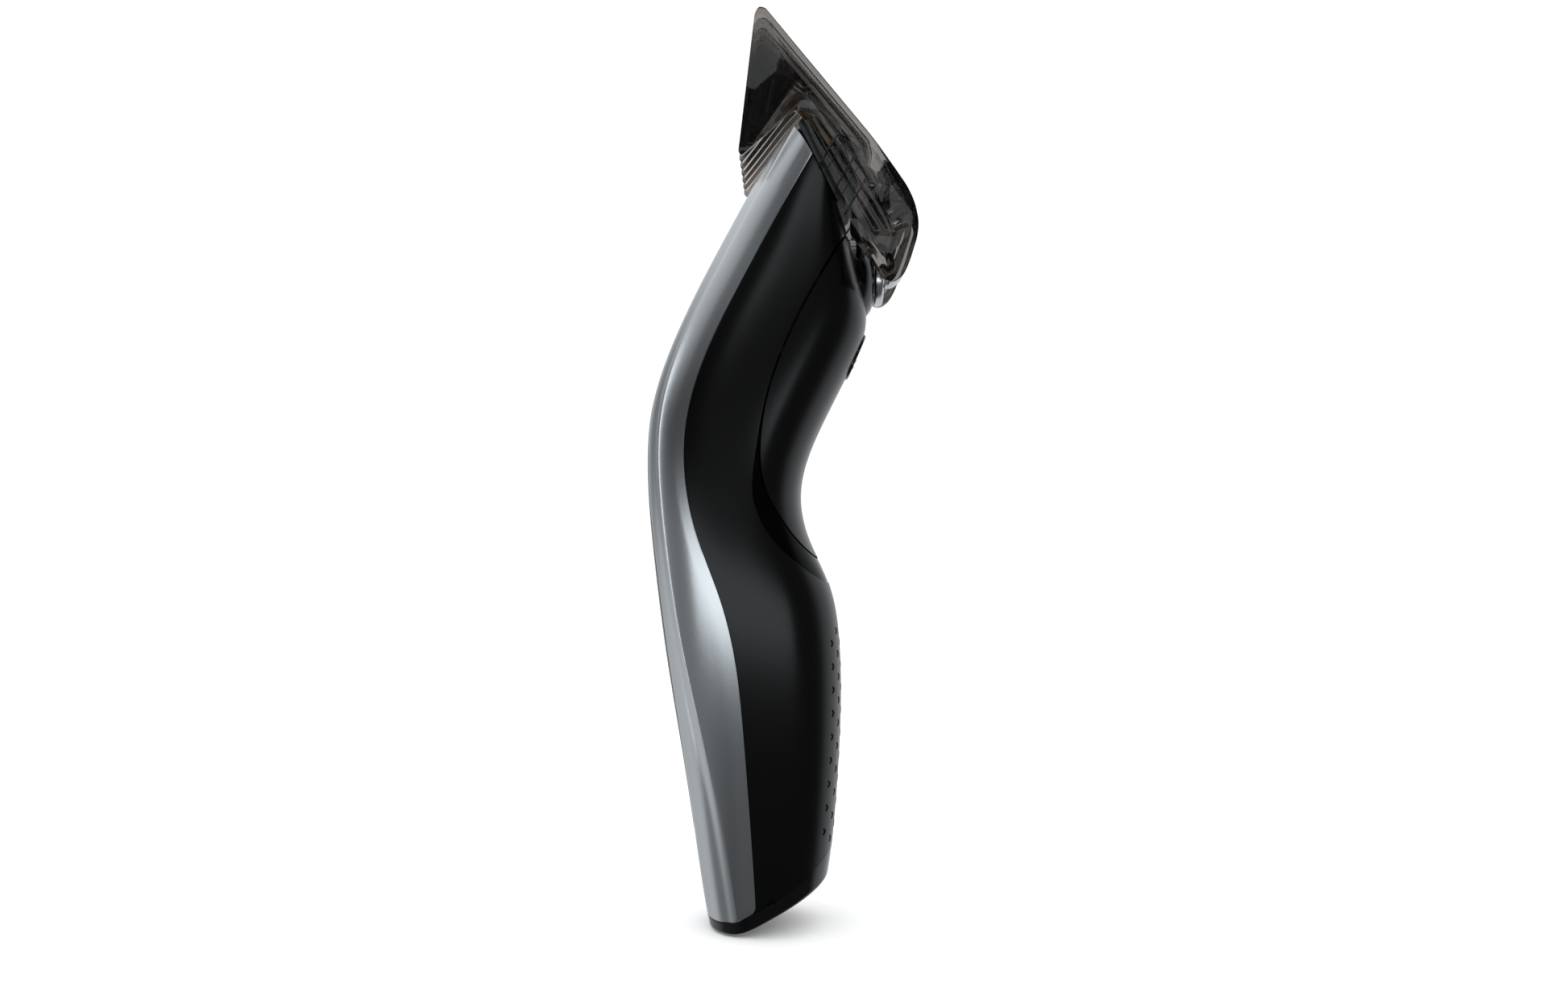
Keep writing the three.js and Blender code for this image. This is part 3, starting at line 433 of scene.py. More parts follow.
def material(name, colour, roughness, grain, bump, metallic=0.0, mottle=0.03, stretch=(1, 1, 1),
             transmission=0.0, ior=1.5, drift=0.03):
    """A moulded, ground or coated surface.

    grain and bump are the fineness and the strength of its texture, stretched along an axis if it is ground.
    mottle and drift are how far its colour and its roughness wander, as a share and as a plain number.
    """
    mat = bpy.data.materials.new(name)
    mat.use_nodes = True
    nodes, links = mat.node_tree.nodes, mat.node_tree.links
    shader = nodes["Principled BSDF"]
    for key, value in (("Metallic", metallic), ("IOR", ior), ("Transmission Weight", transmission)):
        shader.inputs[key].default_value = value

    where = add_node(nodes, "TexCoord")
    stretched = add_node(nodes, "Mapping", {"Scale": stretch})
    links.new(where.outputs["Object"], stretched.inputs["Vector"])
    fine = add_node(nodes, "TexNoise", {"Scale": grain, "Detail": 6})
    links.new(stretched.outputs["Vector"], fine.inputs["Vector"])
    slow = add_node(nodes, "TexNoise", {"Scale": SLOW_SCALE, "Detail": 3})
    links.new(where.outputs["Object"], slow.inputs["Vector"])

    rough = add_node(nodes, "MapRange", {"To Min": max(roughness - drift, LEAST_ROUGHNESS),
                                         "To Max": roughness + drift})
    links.new(slow.outputs["Fac"], rough.inputs["Value"])
    links.new(rough.outputs["Result"], shader.inputs["Roughness"])
    tint = add_node(nodes, "MixRGB", {"Color1": (*[c * (1 - mottle) for c in colour], 1),
                                      "Color2": (*[min(c * (1 + mottle), 1) for c in colour], 1)})
    links.new(slow.outputs["Fac"], tint.inputs["Fac"])
    links.new(tint.outputs["Color"], shader.inputs["Base Color"])
    relief = add_node(nodes, "Bump", {"Strength": bump, "Distance": GRAIN_DEPTH})
    links.new(fine.outputs["Fac"], relief.inputs["Height"])
    links.new(relief.outputs["Normal"], shader.inputs["Normal"])
    return mat


SILVER = material(
    "satin_silver", (0.60, 0.625, 0.64), 0.27, grain=3000, bump=0.012, metallic=1.0, mottle=0.015,
    drift=0.012)
TURNED_STEEL = material(
    "turned_steel", (0.68, 0.69, 0.71), 0.22, grain=1500, bump=0.04, metallic=1.0, stretch=(6, 0.2, 0.2))
STEEL = material(
    "ground_steel", (0.70, 0.71, 0.73), 0.22, grain=900, bump=0.05, metallic=1.0, stretch=(1, 0.04, 1))
GOLD = material("gold_coat", (0.72, 0.42, 0.08), 0.28, grain=900, bump=0.04, metallic=1.0)
BRASS = material("brass_contact", (0.80, 0.58, 0.25), 0.3, grain=900, bump=0.04, metallic=1.0)

BLACK = material(
    "satin_black", (0.0003, 0.0004, 0.0005), 0.26, grain=2500, bump=0.03, mottle=0.1, drift=0.02, ior=1.4)
GRAPHITE = material(
    "graphite_cover", (0.0004, 0.0005, 0.0007), 0.24, grain=2500, bump=0.03, mottle=0.1, drift=0.02, ior=1.4)
GLOSS = material("gloss_black", (0.001, 0.001, 0.0012), 0.07, grain=600, bump=0.004, mottle=0.2, drift=0.02)
# deep_black reflects little. On the back inlays it is their own black; on the thumb trim it is also painted
# shade of the gap under the thumb rest.
DEEP_BLACK = material(
    "deep_black", (0.0004, 0.0004, 0.0005), 0.12, grain=900, bump=0.006, mottle=0.2, drift=0.02, ior=1.16)
# Painted shade: the grip's dimples are black inlays that reflect little, standing in for the shade inside the
# hollows.
DIMPLE_SHADE_BLACK = material("grip_dimple_painted_shade", (0.001, 0.001, 0.001), 0.6, grain=3000, bump=0.2, mottle=0.1, ior=1.08)

# The clear comb. Its index is low, so that its thin plates bend the light as little as thin mouldings do.
CLEAR = {"grain": 250, "bump": 0.004, "transmission": 1.0, "ior": 1.3, "drift": 0.01}
SMOKE = material("smoky_wall", (0.20, 0.187, 0.178), 0.03, **CLEAR)
SMOKE_TEETH = material("smoky_teeth", (0.48, 0.465, 0.45), 0.03, **CLEAR)
LAMP = material("lamp_clear", (0.8, 0.84, 0.86), 0.3, grain=300, bump=0.02, transmission=0.6)

INNER = material("inner_plastic", (0.03, 0.031, 0.033), 0.55, grain=900, bump=0.1, mottle=0.1)
BOARD = material("board_green", (0.01, 0.08, 0.03), 0.4, grain=600, bump=0.05, mottle=0.2)
WRAP = material("cell_wrap", (0.03, 0.10, 0.32), 0.35, grain=300, bump=0.03, mottle=0.1)
SEAL = material("seal_rubber", (0.02, 0.02, 0.021), 0.7, grain=1500, bump=0.2, mottle=0.15)

# The CAD nodes that are shown as they are, by material.
CAD_FINISHES = [
    (STEEL, ["motor_can", "motor_shaft", "battery_tab_low", "battery_tab_high", "tact_switch",
            "plate_screw_left", "plate_screw_right", "blade_spring", "blade_screw_left",
            "blade_screw_right", "fixed_blade"]),
    (BRASS, ["motor_rotor", "motor_terminal_left", "motor_terminal_right", "charging_pin_left",
            "charging_pin_right"]),
    (INNER, ["chassis", "motor_end_cap", "drive_crank", "charging_socket", "head_plate", "dial_shaft"]),
    (GOLD, ["drive_yoke", "moving_blade"]),
    (BOARD, ["circuit_board", "switch_board"]),
    (LAMP, ["light_guide"]),
    (WRAP, ["battery_cell"]),
    (SEAL, ["head_seal"]),
    (BLACK, ["comb_carrier"]),
]


def finish_cad_nodes():
    for mat, names in CAD_FINISHES:
        for name in names:
            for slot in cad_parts[name].material_slots:
                slot.material = mat


# ---------- shells
def shell_rows(*marks, per_unit=9):
    """Values of t from the cap's seam to the head, with a row on each mark."""
    edges = sorted({1.0, T_TOP, *marks})
    rows = []
    for a, b in zip(edges, edges[1:]):
        rows.append(np.linspace(a, b, max(int((b - a) * per_unit), 2), endpoint=False))
    return np.concatenate(rows + [[T_TOP]])


def smooth(share):
    return share * share * (3 - 2 * share)


def follow_cap(t, phi, lift=SEAM / 2):
    """Bends the lowest rows of a patch so that its first row lies along the bottom cap's seam."""
    bottom = cap_t(fraction_of(phi[0]), lift)
    fade = smooth(np.clip((3.0 - t) / 2.0, 0, 1))
    return t + (bottom[None, :] - t[0][None, :]) * fade


def seam_phi(line, ts, offset):
    """The angle of a seam for each row, moved by offset millimetres towards the front."""
    fraction = crossing(dense(line), ts)
    moved = np.where(fraction >= 1, 1, fraction + offset / half_chord(ts))
    return phi_of(moved)


def half_chord(ts):
    row = spline(STATIONS, ts)
    return np.linalg.norm(row[:, 2:4] - row[:, 0:2], axis=1) / 2


FOOT_CORNER = 1.7       # radius of the silver frame's lower front corner
FOOT_ROWS = [1.06, 1.17]


def foot_corner(ts, seam):
    """Swings the silver frame's front edge back in a quarter circle, on the last stretch above the cap."""
    above = np.clip((ts - ts[0]) / (FOOT_ROWS[-1] - ts[0]), 0, 1)
    back = FOOT_CORNER * (1 - np.sqrt(1 - (1 - above) ** 2))
    return seam - back / half_chord(ts)


CREASE_HEIGHT, CREASE_ROUND = 0.62, 0.4         # the ridge, and the radius of its crest
CREASE_AHEAD, CREASE_BEHIND = 3.6, 1.5          # how far it takes to fall off on either side
VALLEY_DEPTH, VALLEY_BACK, VALLEY_REACH = 0.2, 2.6, 1.1
CREASE_TO_SEAM, CREASE_TO_PANEL = 3.0, 2.0      # near the frame's edges the crease flattens out


def crease_lift(t, phi, seam, crease, inner):
    """The silver frame's long crease: a narrow round ridge with a shallow valley behind it."""
    distance = arc_distance(t, np.abs(phi), crease[:, None])
    rounded_off = np.sqrt(distance ** 2 + CREASE_ROUND ** 2) - CREASE_ROUND
    fall = np.where(distance > 0, CREASE_AHEAD, CREASE_BEHIND)
    ridge = CREASE_HEIGHT * np.exp(-rounded_off / fall)
    valley = -VALLEY_DEPTH * np.exp(-((distance + VALLEY_BACK) / VALLEY_REACH) ** 2)
    to_seam = -arc_distance(t, np.abs(phi), seam[:, None])
    to_panel = arc_distance(t, np.abs(phi), inner[:, None])
    level = np.clip(to_seam / CREASE_TO_SEAM, 0, 1) * np.clip(to_panel / CREASE_TO_PANEL, 0, 1)
    return (ridge + valley) * smooth(level)


def arc_distance(t, phi, phi0):
    """Signed distance across the skin from angle phi0 to phi, in millimetres."""
    a, b = skin(t, phi), skin(t, np.broadcast_to(phi0, phi.shape))
    return np.sign(phi - phi0) * np.linalg.norm(a - b, axis=-1)


def panel_half(z):
    """Half the inlays' width at a height: pointed at both ends and widest halfway up."""
    u = np.clip((z - PANEL_LOW) / (PANEL_HIGH - PANEL_LOW), 0, 1)
    v = PANEL_BLUNT + (1 - 2 * PANEL_BLUNT) * u
    return PANEL_HALF * (4 * v * (1 - v)) ** PANEL_TAPER


def panel_phi(ts, offset):
    """The angle of the inlays' edge for each row, moved outwards by offset millimetres."""
    heights = side_point(ts, np.full_like(ts, -1.0))[:, 1]
    share = (panel_half(heights) + offset) / spline(STATIONS, ts)[:, 4]
    return np.arcsin(np.clip(share, 0, 1) ** (1 / POWER))


def make_silver_frame():
    low, high = t_at_back_height(PANEL_LOW - SEAM), t_at_back_height(PANEL_HIGH + SEAM)
    ts = shell_rows(*FOOT_ROWS, low, high, per_unit=11)
    seam = foot_corner(ts, seam_phi(SILVER_SEAM, ts, -SEAM / 2))
    inner = panel_phi(ts, SEAM / 2)
    crease = np.clip(phi_of(crossing(dense(SILVER_CREASE), ts)), inner + 0.05, seam - 0.02)
    # Columns: inlay, its edge to the crease, the crease to the seam, closest together at the crease.
    behind, ahead, middle, crowding = 16, 26, 10, 1.5
    to_crease = 1 - (1 - np.linspace(0, 1, behind, endpoint=False)) ** crowding
    from_crease = np.linspace(0, 1, ahead + 1) ** crowding
    half = np.concatenate([inner[:, None] + (crease - inner)[:, None] * to_crease,
                           crease[:, None] + (seam - crease)[:, None] * from_crease], axis=1)
    across = np.linspace(-1, 1, middle + 1)[1:-1]
    phi = np.concatenate([-half[:, ::-1], inner[:, None] * across, half], axis=1)
    t = follow_cap(ts[:, None], phi)
    in_panel = (ts[:-1] > low - 1e-6) & (ts[:-1] < high - 1e-6)
    side = behind + ahead
    obj = skin_patch("silver_frame_shell", t, phi, lift=crease_lift(t, phi, seam, crease, inner),
                     keep=lambda i, j: not (in_panel[i] and side <= j < side + middle))
    thicken(obj, edge=0.16)
    return finish_piece(obj, "handle", SILVER, "satin_silver", "silver_frame")


def make_back_panel(name, z0, z1, node):
    a, b = t_at_back_height(z0), t_at_back_height(z1)
    ts = np.linspace(a, b, max(int((b - a) * 12), 8))     # twelve rows to a station
    half = panel_phi(ts, -SEAM / 2)
    phi = half[:, None] * np.linspace(-1, 1, 33)
    obj = skin_patch(name, ts[:, None], phi, lift=np.full(phi.shape, 0.05))
    thicken(obj, edge=0.2)
    return finish_piece(obj, "handle", DEEP_BLACK, "gloss_black", node)


def front_exit(line):
    """The t at which a seam leaves through the front of the profile."""
    ts = np.linspace(5, 9, 801)
    fractions = crossing(dense(line), ts)
    return float(ts[np.nonzero(fractions < 1)[0][0]])


TURN_REACH = 0.5        # how much of t the crowded rows take up


def clustered(centre, reach, count):
    """Rows that crowd together just above a value, where a seam turns round the front."""
    return [centre + reach * (k / count) ** 2.2 for k in range(1, count + 1)]


def both_halves(start, end, columns):
    """Angles from start to end for each row, then their mirror image on the other side."""
    right = start[:, None] + (end - start)[:, None] * np.linspace(0, 1, columns)
    return np.concatenate([right, 2 * math.pi - right[:, ::-1]], axis=1)


def make_main_shell():
    turn = front_exit(GRIP_SEAM)
    ts = shell_rows(*FOOT_ROWS, turn, *clustered(turn, TURN_REACH, 14))
    start = foot_corner(ts, seam_phi(SILVER_SEAM, ts, SEAM / 2))
    end = seam_phi(GRIP_SEAM, ts, -SEAM / 2)
    end = np.where(ts <= turn + 1e-9, math.pi, end)
    columns = 46
    phi = both_halves(start, end, columns)
    t = follow_cap(ts[:, None], phi)
    obj = skin_patch("main_shell_skin", t, phi, keep=lambda i, j: j != columns - 1)
    weld(obj)
    thicken(obj, edge=0.2)
    return finish_piece(obj, "handle", BLACK, "satin_black", "main_shell")


def rack_path():
    """The way of the comb's rack: the bar with some play, carried on along the neck past both its ends."""
    lean = NECK.x / NECK.z
    low, high = RACK_REACH
    back, front = RACK_X[0] - RACK_PLAY, RACK_X[1] + RACK_PLAY
    outline = [(back + low * lean, DIAL_Z + low), (front + low * lean, DIAL_Z + low),
               (front + high * lean, DIAL_Z + high), (back + high * lean, DIAL_Z + high)]
    return side_plate("rack_path", outline, RACK_Y[0], RACK_Y[1])


def make_front_cover():
    turn = front_exit(COVER_SEAM)
    ts = np.array(sorted({turn + 1e-4, *clustered(turn, TURN_REACH, 14),
                          *np.linspace(turn + TURN_REACH, T_TOP, 70)}))
    start = np.minimum(seam_phi(COVER_SEAM, ts, SEAM + COVER_GAP), math.pi - 1e-3)
    phi = start[:, None] + (2 * math.pi - 2 * start)[:, None] * np.linspace(0, 1, 64)
    obj = skin_patch("front_cover_skin", ts[:, None], phi)
    weld(obj)
    through = 4
    button_rows = [(BUTTON_LONG + BEZEL_GROW, BUTTON_WIDE + BEZEL_GROW, h) for h in (-through, through)]
    button_hole = oval_stack("button_hole", button_rows, True)
    lamp_profile = [(0, -through), (LAMP_HOLE, -through), (LAMP_HOLE, through), (0, through)]
    lamp_hole = turned("lamp_hole", lamp_profile, LAMP_AT, LAMP_OUT, 48)
    thicken(obj, edge=0.14, holes=[button_hole, lamp_hole, rack_path()])
    return finish_piece(obj, "handle", GRAPHITE, "graphite", "front_cover")


def make_thumb_trim_with_shade():
    """The glossy band under the thumb rest, between the cover's edge and the grip's edge. Its deep black is
    partly the band's own colour and partly painted shade of the gap under the thumb rest's edge.
    """
    low, high = front_exit(GRIP_SEAM), front_exit(COVER_SEAM)
    top = 10.2                                             # the t at which the two edges meet
    ts = np.array(sorted({low + 1e-4, *clustered(low, TURN_REACH, 12), high, *clustered(high, TURN_REACH, 12),
                          *np.linspace(low + TURN_REACH, top, 40)}))
    outer = seam_phi(GRIP_SEAM, ts, SEAM / 2)
    inner = np.where(ts <= high, math.pi, seam_phi(COVER_SEAM, ts, -SEAM / 2))
    inner = np.maximum(inner, outer + 1e-4)
    columns = 16
    phi = both_halves(outer, inner, columns)
    obj = skin_patch("thumb_trim_and_gap_shade", ts[:, None], phi, keep=lambda i, j: j != columns - 1,
                     lift=np.full(phi.shape, -0.12))
    weld(obj)
    thicken(obj, edge=0.1)
    return finish_piece(obj, "handle", DEEP_BLACK, "gloss_black", "thumb_trim")


FOOT_FRONT = -9.4       # where the flat of the foot ends
FOOT_BEND = 1.3         # how softly it turns up from there
FOOT_SLOPE = 0.575      # rise of the underside ahead of the foot
CAP_MIDDLE = (-3.5, 0.0)
CAP_RADIUS = 1.1        # lower edge of the bottom cap


def underside(x):
    """Height of the clipper's underside: a flat foot at the back, then a slope rising to the front."""
    return FOOT_SLOPE * FOOT_BEND * np.log1p(np.exp((x - FOOT_FRONT) / FOOT_BEND))


def make_bottom_cap():
    count = 120
    phi = np.linspace(0, 2 * math.pi, count, endpoint=False)
    fraction = fraction_of(phi)
    top = cap_t(fraction, -SEAM / 2)
    high = narrowed(np.zeros(count), top, fraction, lambda x: underside(x) + CAP_RADIUS)[1]
    foot = np.minimum(high, top - 0.02)
    rings = [skin(top + (foot - top) * k / 4, phi) for k in range(5)]

    edge = rings[-1]
    centre = np.array(CAP_MIDDLE)
    inward = centre - edge[:, :2]
    inward = inward / np.linalg.norm(inward, axis=1, keepdims=True)
    for k in range(1, 8):
        a = math.pi / 2 * k / 7
        ring = edge.copy()
        ring[:, :2] += inward * CAP_RADIUS * (1 - math.cos(a)) * 0.9
        ring[:, 2] += (underside(ring[:, 0]) - edge[:, 2]) * math.sin(a)
        rings.append(ring)
    flat = rings[-1]
    for k in range(1, 10):
        ring = flat.copy()
        ring[:, :2] = centre + (flat[:, :2] - centre) * (1 - k / 9.5)
        ring[:, 2] = underside(ring[:, 0])
        rings.append(ring)

    faces = [tuple(reversed(f)) for f in grid_faces(len(rings), count, wrap=True)]
    faces.append(end_face(len(rings), count))
    obj = new_object("bottom_cap_cup", to_frame(np.concatenate(rings)), faces)
    outward_from(obj, Vector(to_frame((CAP_MIDDLE[0], 0, 12))))
    carved(obj, [socket_cut()])
    thicken(obj, edge=0.16, thickness=1.4)
    return finish_piece(obj, "handle", GLOSS, "gloss_black", "bottom_cap")


def outward_from(obj, centre):
    """Turns an open surface's faces away from a point inside it."""
    mesh = obj.data
    score = sum((p.center - centre).dot(p.normal) * p.area for p in mesh.polygons)
    if score < 0:
        mesh.flip_normals()


def box_outline(long, wide, radius):
    u, v = long / 2, wide / 2
    return rounded([(-u, -v), (u, -v), (u, v), (-u, v)], radius)


def socket_cut():
    """The charging opening: a block square to the sloping underside."""
    mouth, out = Vector((0.6, 0, 5.4)), Vector((0.507, 0, -0.862))
    across = Vector((0, 1, 0)).cross(out)
    deep = 6
    return extruded("socket_cut", box_outline(7.4, 11.4, 1.2), -deep, deep,
                    lambda u, y, w: tuple(mouth + across * u + Vector((0, y, 0)) + out * w))


# ---------- pod, dial and button
POD_Z = 139.4
POD_HALF = (11.4, 8.9)
POD_LEAN = 0.012        # how much faster the pod falls back above its middle
DIAL_BACK = 19.5


def make_pod():
    """The domed housing behind the dial. Its profile is (share of the half-size, x)."""
    profile = [(1.0, 11.5), (1.0, 15.2), (0.985, 16.2), (0.95, 17.0), (0.89, 17.75), (0.81, 18.4),
               (0.72, 18.9), (0.62, 19.2), (0.5, 19.35), (0.2, 19.4)]
    count = 128
    angle = np.linspace(0, 2 * math.pi, count, endpoint=False)
    rings = []
    for scale, x in dense(profile, 5):
        y = POD_HALF[0] * scale * np.cos(angle)
        z = POD_Z + POD_HALF[1] * scale * np.sin(angle)
        depth = np.full(count, x) - POD_LEAN * (z - POD_Z) ** 2 * (z > POD_Z)
        rings.append(np.stack([depth, y, z], axis=1))
    faces = grid_faces(len(rings), count, wrap=True)
    faces.append(end_face(len(rings), count))
    obj = new_object("dial_pod_dome", to_frame(np.concatenate(rings)), faces)
    outward_from(obj, Vector(to_frame((10, 0, POD_Z))))
    thicken(obj, edge=0.1, thickness=1.0, holes=[rack_path()])
    return finish_piece(obj, "handle", GLOSS, "gloss_black", "dial_pod")


def make_dial():
    """The turned ring, its dished face and the pointer on the face. The profiles are (radius, x)."""
    centre, axis = (0, 0, DIAL_Z), (1, 0, 0)
    r, bore = DIAL_RADIUS, 5.3
    ring_profile = [
        (bore, DIAL_BACK), (r - 0.5, DIAL_BACK), (r - 0.12, 19.6), (r, 19.8), (r, 20.75), (r - 0.1, 21.05),
        (r - 0.4, 21.33), (r - 0.8, 21.43), (5.8, 21.43), (5.45, 21.35), (bore, 21.15), (bore, DIAL_BACK)]
    ring = turned("dial_ring_metal", ring_profile, centre, axis, 160)
    soften(ring, 0.06, 2)
    finish_piece(ring, "length_dial", TURNED_STEEL, "steel", "dial_ring")
    face_profile = [(0, 19.6), (5.1, 19.6), (5.15, 20.85), (4.95, 21.1), (4.4, 21.15), (3.2, 20.9), (0, 20.7)]
    face = turned("dial_face", face_profile, centre, axis, 128)
    soften(face, 0.05, 2)
    finish_piece(face, "length_dial", GLOSS, "gloss_black", "dial_cap")
    pointer = rounded([(3.0, 0.22), (4.5, 0.22), (4.5, -0.22), (3.0, -0.22)], 0.2)
    mark = extruded("dial_mark", pointer, 20.75, 21.2, lambda z, y, x: (x, y, DIAL_Z + z))
    finish_piece(mark, "length_dial", TURNED_STEEL, "steel")


OVAL_POWER = 0.82       # 1 is an ellipse, smaller is squarer


def oval_ring(size_up, size_across, height):
    """A squarish oval round the button's centre, height millimetres out of the cover."""
    a = np.linspace(0, 2 * math.pi, 72, endpoint=False)
    u = size_up / 2 * np.sign(np.cos(a)) * np.abs(np.cos(a)) ** OVAL_POWER
    v = size_across / 2 * np.sign(np.sin(a)) * np.abs(np.sin(a)) ** OVAL_POWER
    base = BUTTON_CENTRE + BUTTON_OUT * height
    return np.array([(base.x + BUTTON_UP.x * p, q, base.z + BUTTON_UP.z * p) for p, q in zip(u, v)])


def oval_stack(name, rows, ends):
    """Oval rings joined in order. Both ends are closed or, without ends, the last ring joins the first."""
    rings = [oval_ring(*row) for row in rows]
    count = len(rings[0])
    faces = grid_faces(len(rings), count, wrap=True)
    if ends:
        faces.append(end_face(len(rings), count))
        faces.append(tuple(reversed(range(count))))
    else:
        faces += joining_faces(len(rings), count)
    obj = new_object(name, to_frame(np.concatenate(rings)), faces)
    outward(obj)
    return obj


def make_button():
    """The button in its bezel. The rows are (how much larger than the button, how far out of the cover)."""
    def button_rows(rows):
        return [(BUTTON_LONG + grow, BUTTON_WIDE + grow, height) for grow, height in rows]

    bezel = oval_stack("button_bezel_ring", button_rows([
        (2.9, -2.2), (2.9, -0.25), (2.75, -0.05), (2.4, 0.1), (1.9, 0.14), (1.4, 0.06), (1.0, -0.14),
        (0.75, -0.45), (0.7, -0.8), (0.7, -2.2)]), False)
    soften(bezel, 0.05, 2)
    finish_piece(bezel, "handle", GLOSS, "gloss_black", "button_bezel")
    cap = oval_stack("power_button_cap", button_rows([
        (-0.2, -2.0), (0, -1.6), (0, -0.55), (-0.12, -0.28), (-0.5, -0.08), (-1.2, -0.02), (-2.8, -0.08),
        (-5.2, -0.14)]), True)
    soften(cap, 0.05, 2)
    finish_piece(cap, "button", BLACK, "satin_black", "power_button")
    for k, height in enumerate((-0.8, -2.3)):
        def place(y, up, out, height=height):
            return tuple(BUTTON_CENTRE + Vector((0, y, 0)) + BUTTON_UP * (up + height) + BUTTON_OUT * out)

        ridge = extruded(f"power_button_ridge_{k}", box_outline(4.2, 0.64, 0.3), -0.3, 0.28, place)
        soften(ridge, 0.18)
        finish_piece(ridge, "button", GLOSS, "satin_black")


# ---------- dots of the grip
DOT_PITCH = 4.87
DOT_SHAPE = [(-0.75, 0.75), (-0.2, 0.75), (0.55, 0), (-0.2, -0.75), (-0.75, -0.75), (-0.15, 0)]
DOT_COLUMNS = [(10.6, 61.3, 9), (7.2, 63.8, 10), (3.7, 61.3, 9)]      # distance from the middle, top, count


def grip_place(y, t, side):
    """The point of the grip's front at t, with the directions to the front, up and out of it."""
    half = float(spline(STATIONS, np.array(t))[4])
    phi = np.array((math.pi - math.asin((y / half) ** (1 / POWER))) * side)
    out = skin_normal(np.array(t), phi)
    up = np.array([0.0, 0, 1])
    up = up - out * (up @ out)
    up /= np.linalg.norm(up)
    right = np.cross(up, out) * (-side)
    return skin(np.array(t), phi), right if right[0] > 0 else -right, up, out


def make_grip_dots():
    """Small arrowhead dimples in the front of the grip, in upright columns that alternate in height. They are
    drawn as black inlays, and their black is painted shade of the hollows.
    """
    arrow = rounded(DOT_SHAPE, 0.3, 3)
    m = len(arrow)
    vertices, faces = [], []
    ts = np.linspace(1, 9, 1600)
    front_heights = side_point(ts, np.ones_like(ts))[:, 1]
    for y, top, count in DOT_COLUMNS:
        for side in (1, -1):
            for k in range(count):
                z = top - DOT_PITCH * k
                point, right, up, out = grip_place(y, float(np.interp(z, front_heights, ts)), side)
                base = len(vertices)
                for depth in (-0.5, 0.06):
                    vertices += [point + right * u + up * v + out * depth for u, v in arrow]
                faces.append(tuple(base + m + i for i in range(m)))
                for i in range(m):
                    j = (i + 1) % m
                    faces.append((base + i, base + j, base + m + j, base + m + i))
    obj = new_object("grip_dots", to_frame(vertices), faces)
    outward(obj)
    return finish_piece(obj, "handle", DIMPLE_SHADE_BLACK, "satin_black")


# ---------- cutting unit
def face_point(down, out):
    """A side-view point down the neck's sloping face from its top edge, and out from it."""
    p = FACE_TOP + Vector((FACE_OUT.z, 0, -FACE_OUT.x)) * down + FACE_OUT * out
    return (p.x, p.z)


def blade_point(back, down):
    """A side-view point back from the blades' cutting edge, and down from their top face."""
    p = BLADE_TIP - BLADE_DIR * back - BLADE_OUT * down
    return (p.x, p.z)


def make_cutting_unit():
    """The moulded block that carries the blades, hollow behind them for the drive."""
    outline = [face_point(0.3, 0.3), blade_point(2.6, 2.8), blade_point(10.6, 2.8),
               (*blade_point(11, 0.3), 0.4), (12.9, 163.2, 1), (13.7, 160.4, 1), (15.1, 157, 1),
               (14.8, 155.2, 1), face_point(18, 0.3)]
    block = side_plate("cutting_unit_block", rounded(outline, 0.5), -UNIT_HALF, UNIT_HALF)
    room = [face_point(2.6, -1), blade_point(4.2, 1.6), blade_point(10.4, 1.6), face_point(14.4, 4.2),
            face_point(15.4, -1)]
    carved(block, [side_plate("drive_room", rounded(room, 0.5), -ROOM_HALF, ROOM_HALF)])
    soften(block, 0.35)
    return finish_piece(block, "handle", BLACK, "satin_black", "cutting_unit")


# ---------- comb
COMB_TIP = [(-6, 190.5, 1.2), (-5.2, 192.0, 1.0), (-3.8, 191.8, 1.0)]
COMB_SKIN = [(1.8, 185, 2), (14.3, 170, 2), (18.6, 164.8, 3), (22.7, 159, 3), (25.2, 155.4, 2)]
COMB_HEEL = [(26.7, 152, 2), (27.4, 148.6, 3), (27.2, 145.6, 3), (25.6, 140.4, 3), (24.4, 137.6, 2),
             (22.6, 136.2, 2), (20.8, 136.2, 1)]
COMB_CORNER = [(-8.6, 161.8, 0.4), (-9.3, 162.6, 0.4)]


def both_sides(name, outline, near, far):
    """The same plate on both sides of the comb, between two distances from its middle plane."""
    return [side_plate(name, outline, sign * near, sign * far) for sign in (1, -1)]


def bevelled(obj, width, segments=3):
    soften(obj, width, segments)
    apply_modifiers(obj)
    return obj


def bar_outline(start, end, width):
    """A straight bar with rounded ends from one side-view point to another."""
    a, b = np.array(start, float), np.array(end, float)
    along = (b - a) / np.linalg.norm(b - a)
    across = np.array([-along[1], along[0]]) * width / 2
    corners = [a - across, b - across, b + across, a + across]
    return rounded([(*c, width * 0.45) for c in corners], width * 0.45, 4)


# The comb's length marks: upper end on the edge of the guide rail, length and width.
MARKS = [(10.9, 166.2, 7.4, 0.42), (11.9, 164.4, 7.2, 0.2), (14.2, 161.5, 7.8, 0.36),
         (15.0, 159.4, 7.9, 0.2), (16.6, 157.1, 8.6, 0.36), (17.4, 155, 4.2, 0.12)]
MARK_DEPTH, PROUD = 0.3, 0.02
OVERLAP = 0.2           # how far the comb's inner pieces run into its side walls


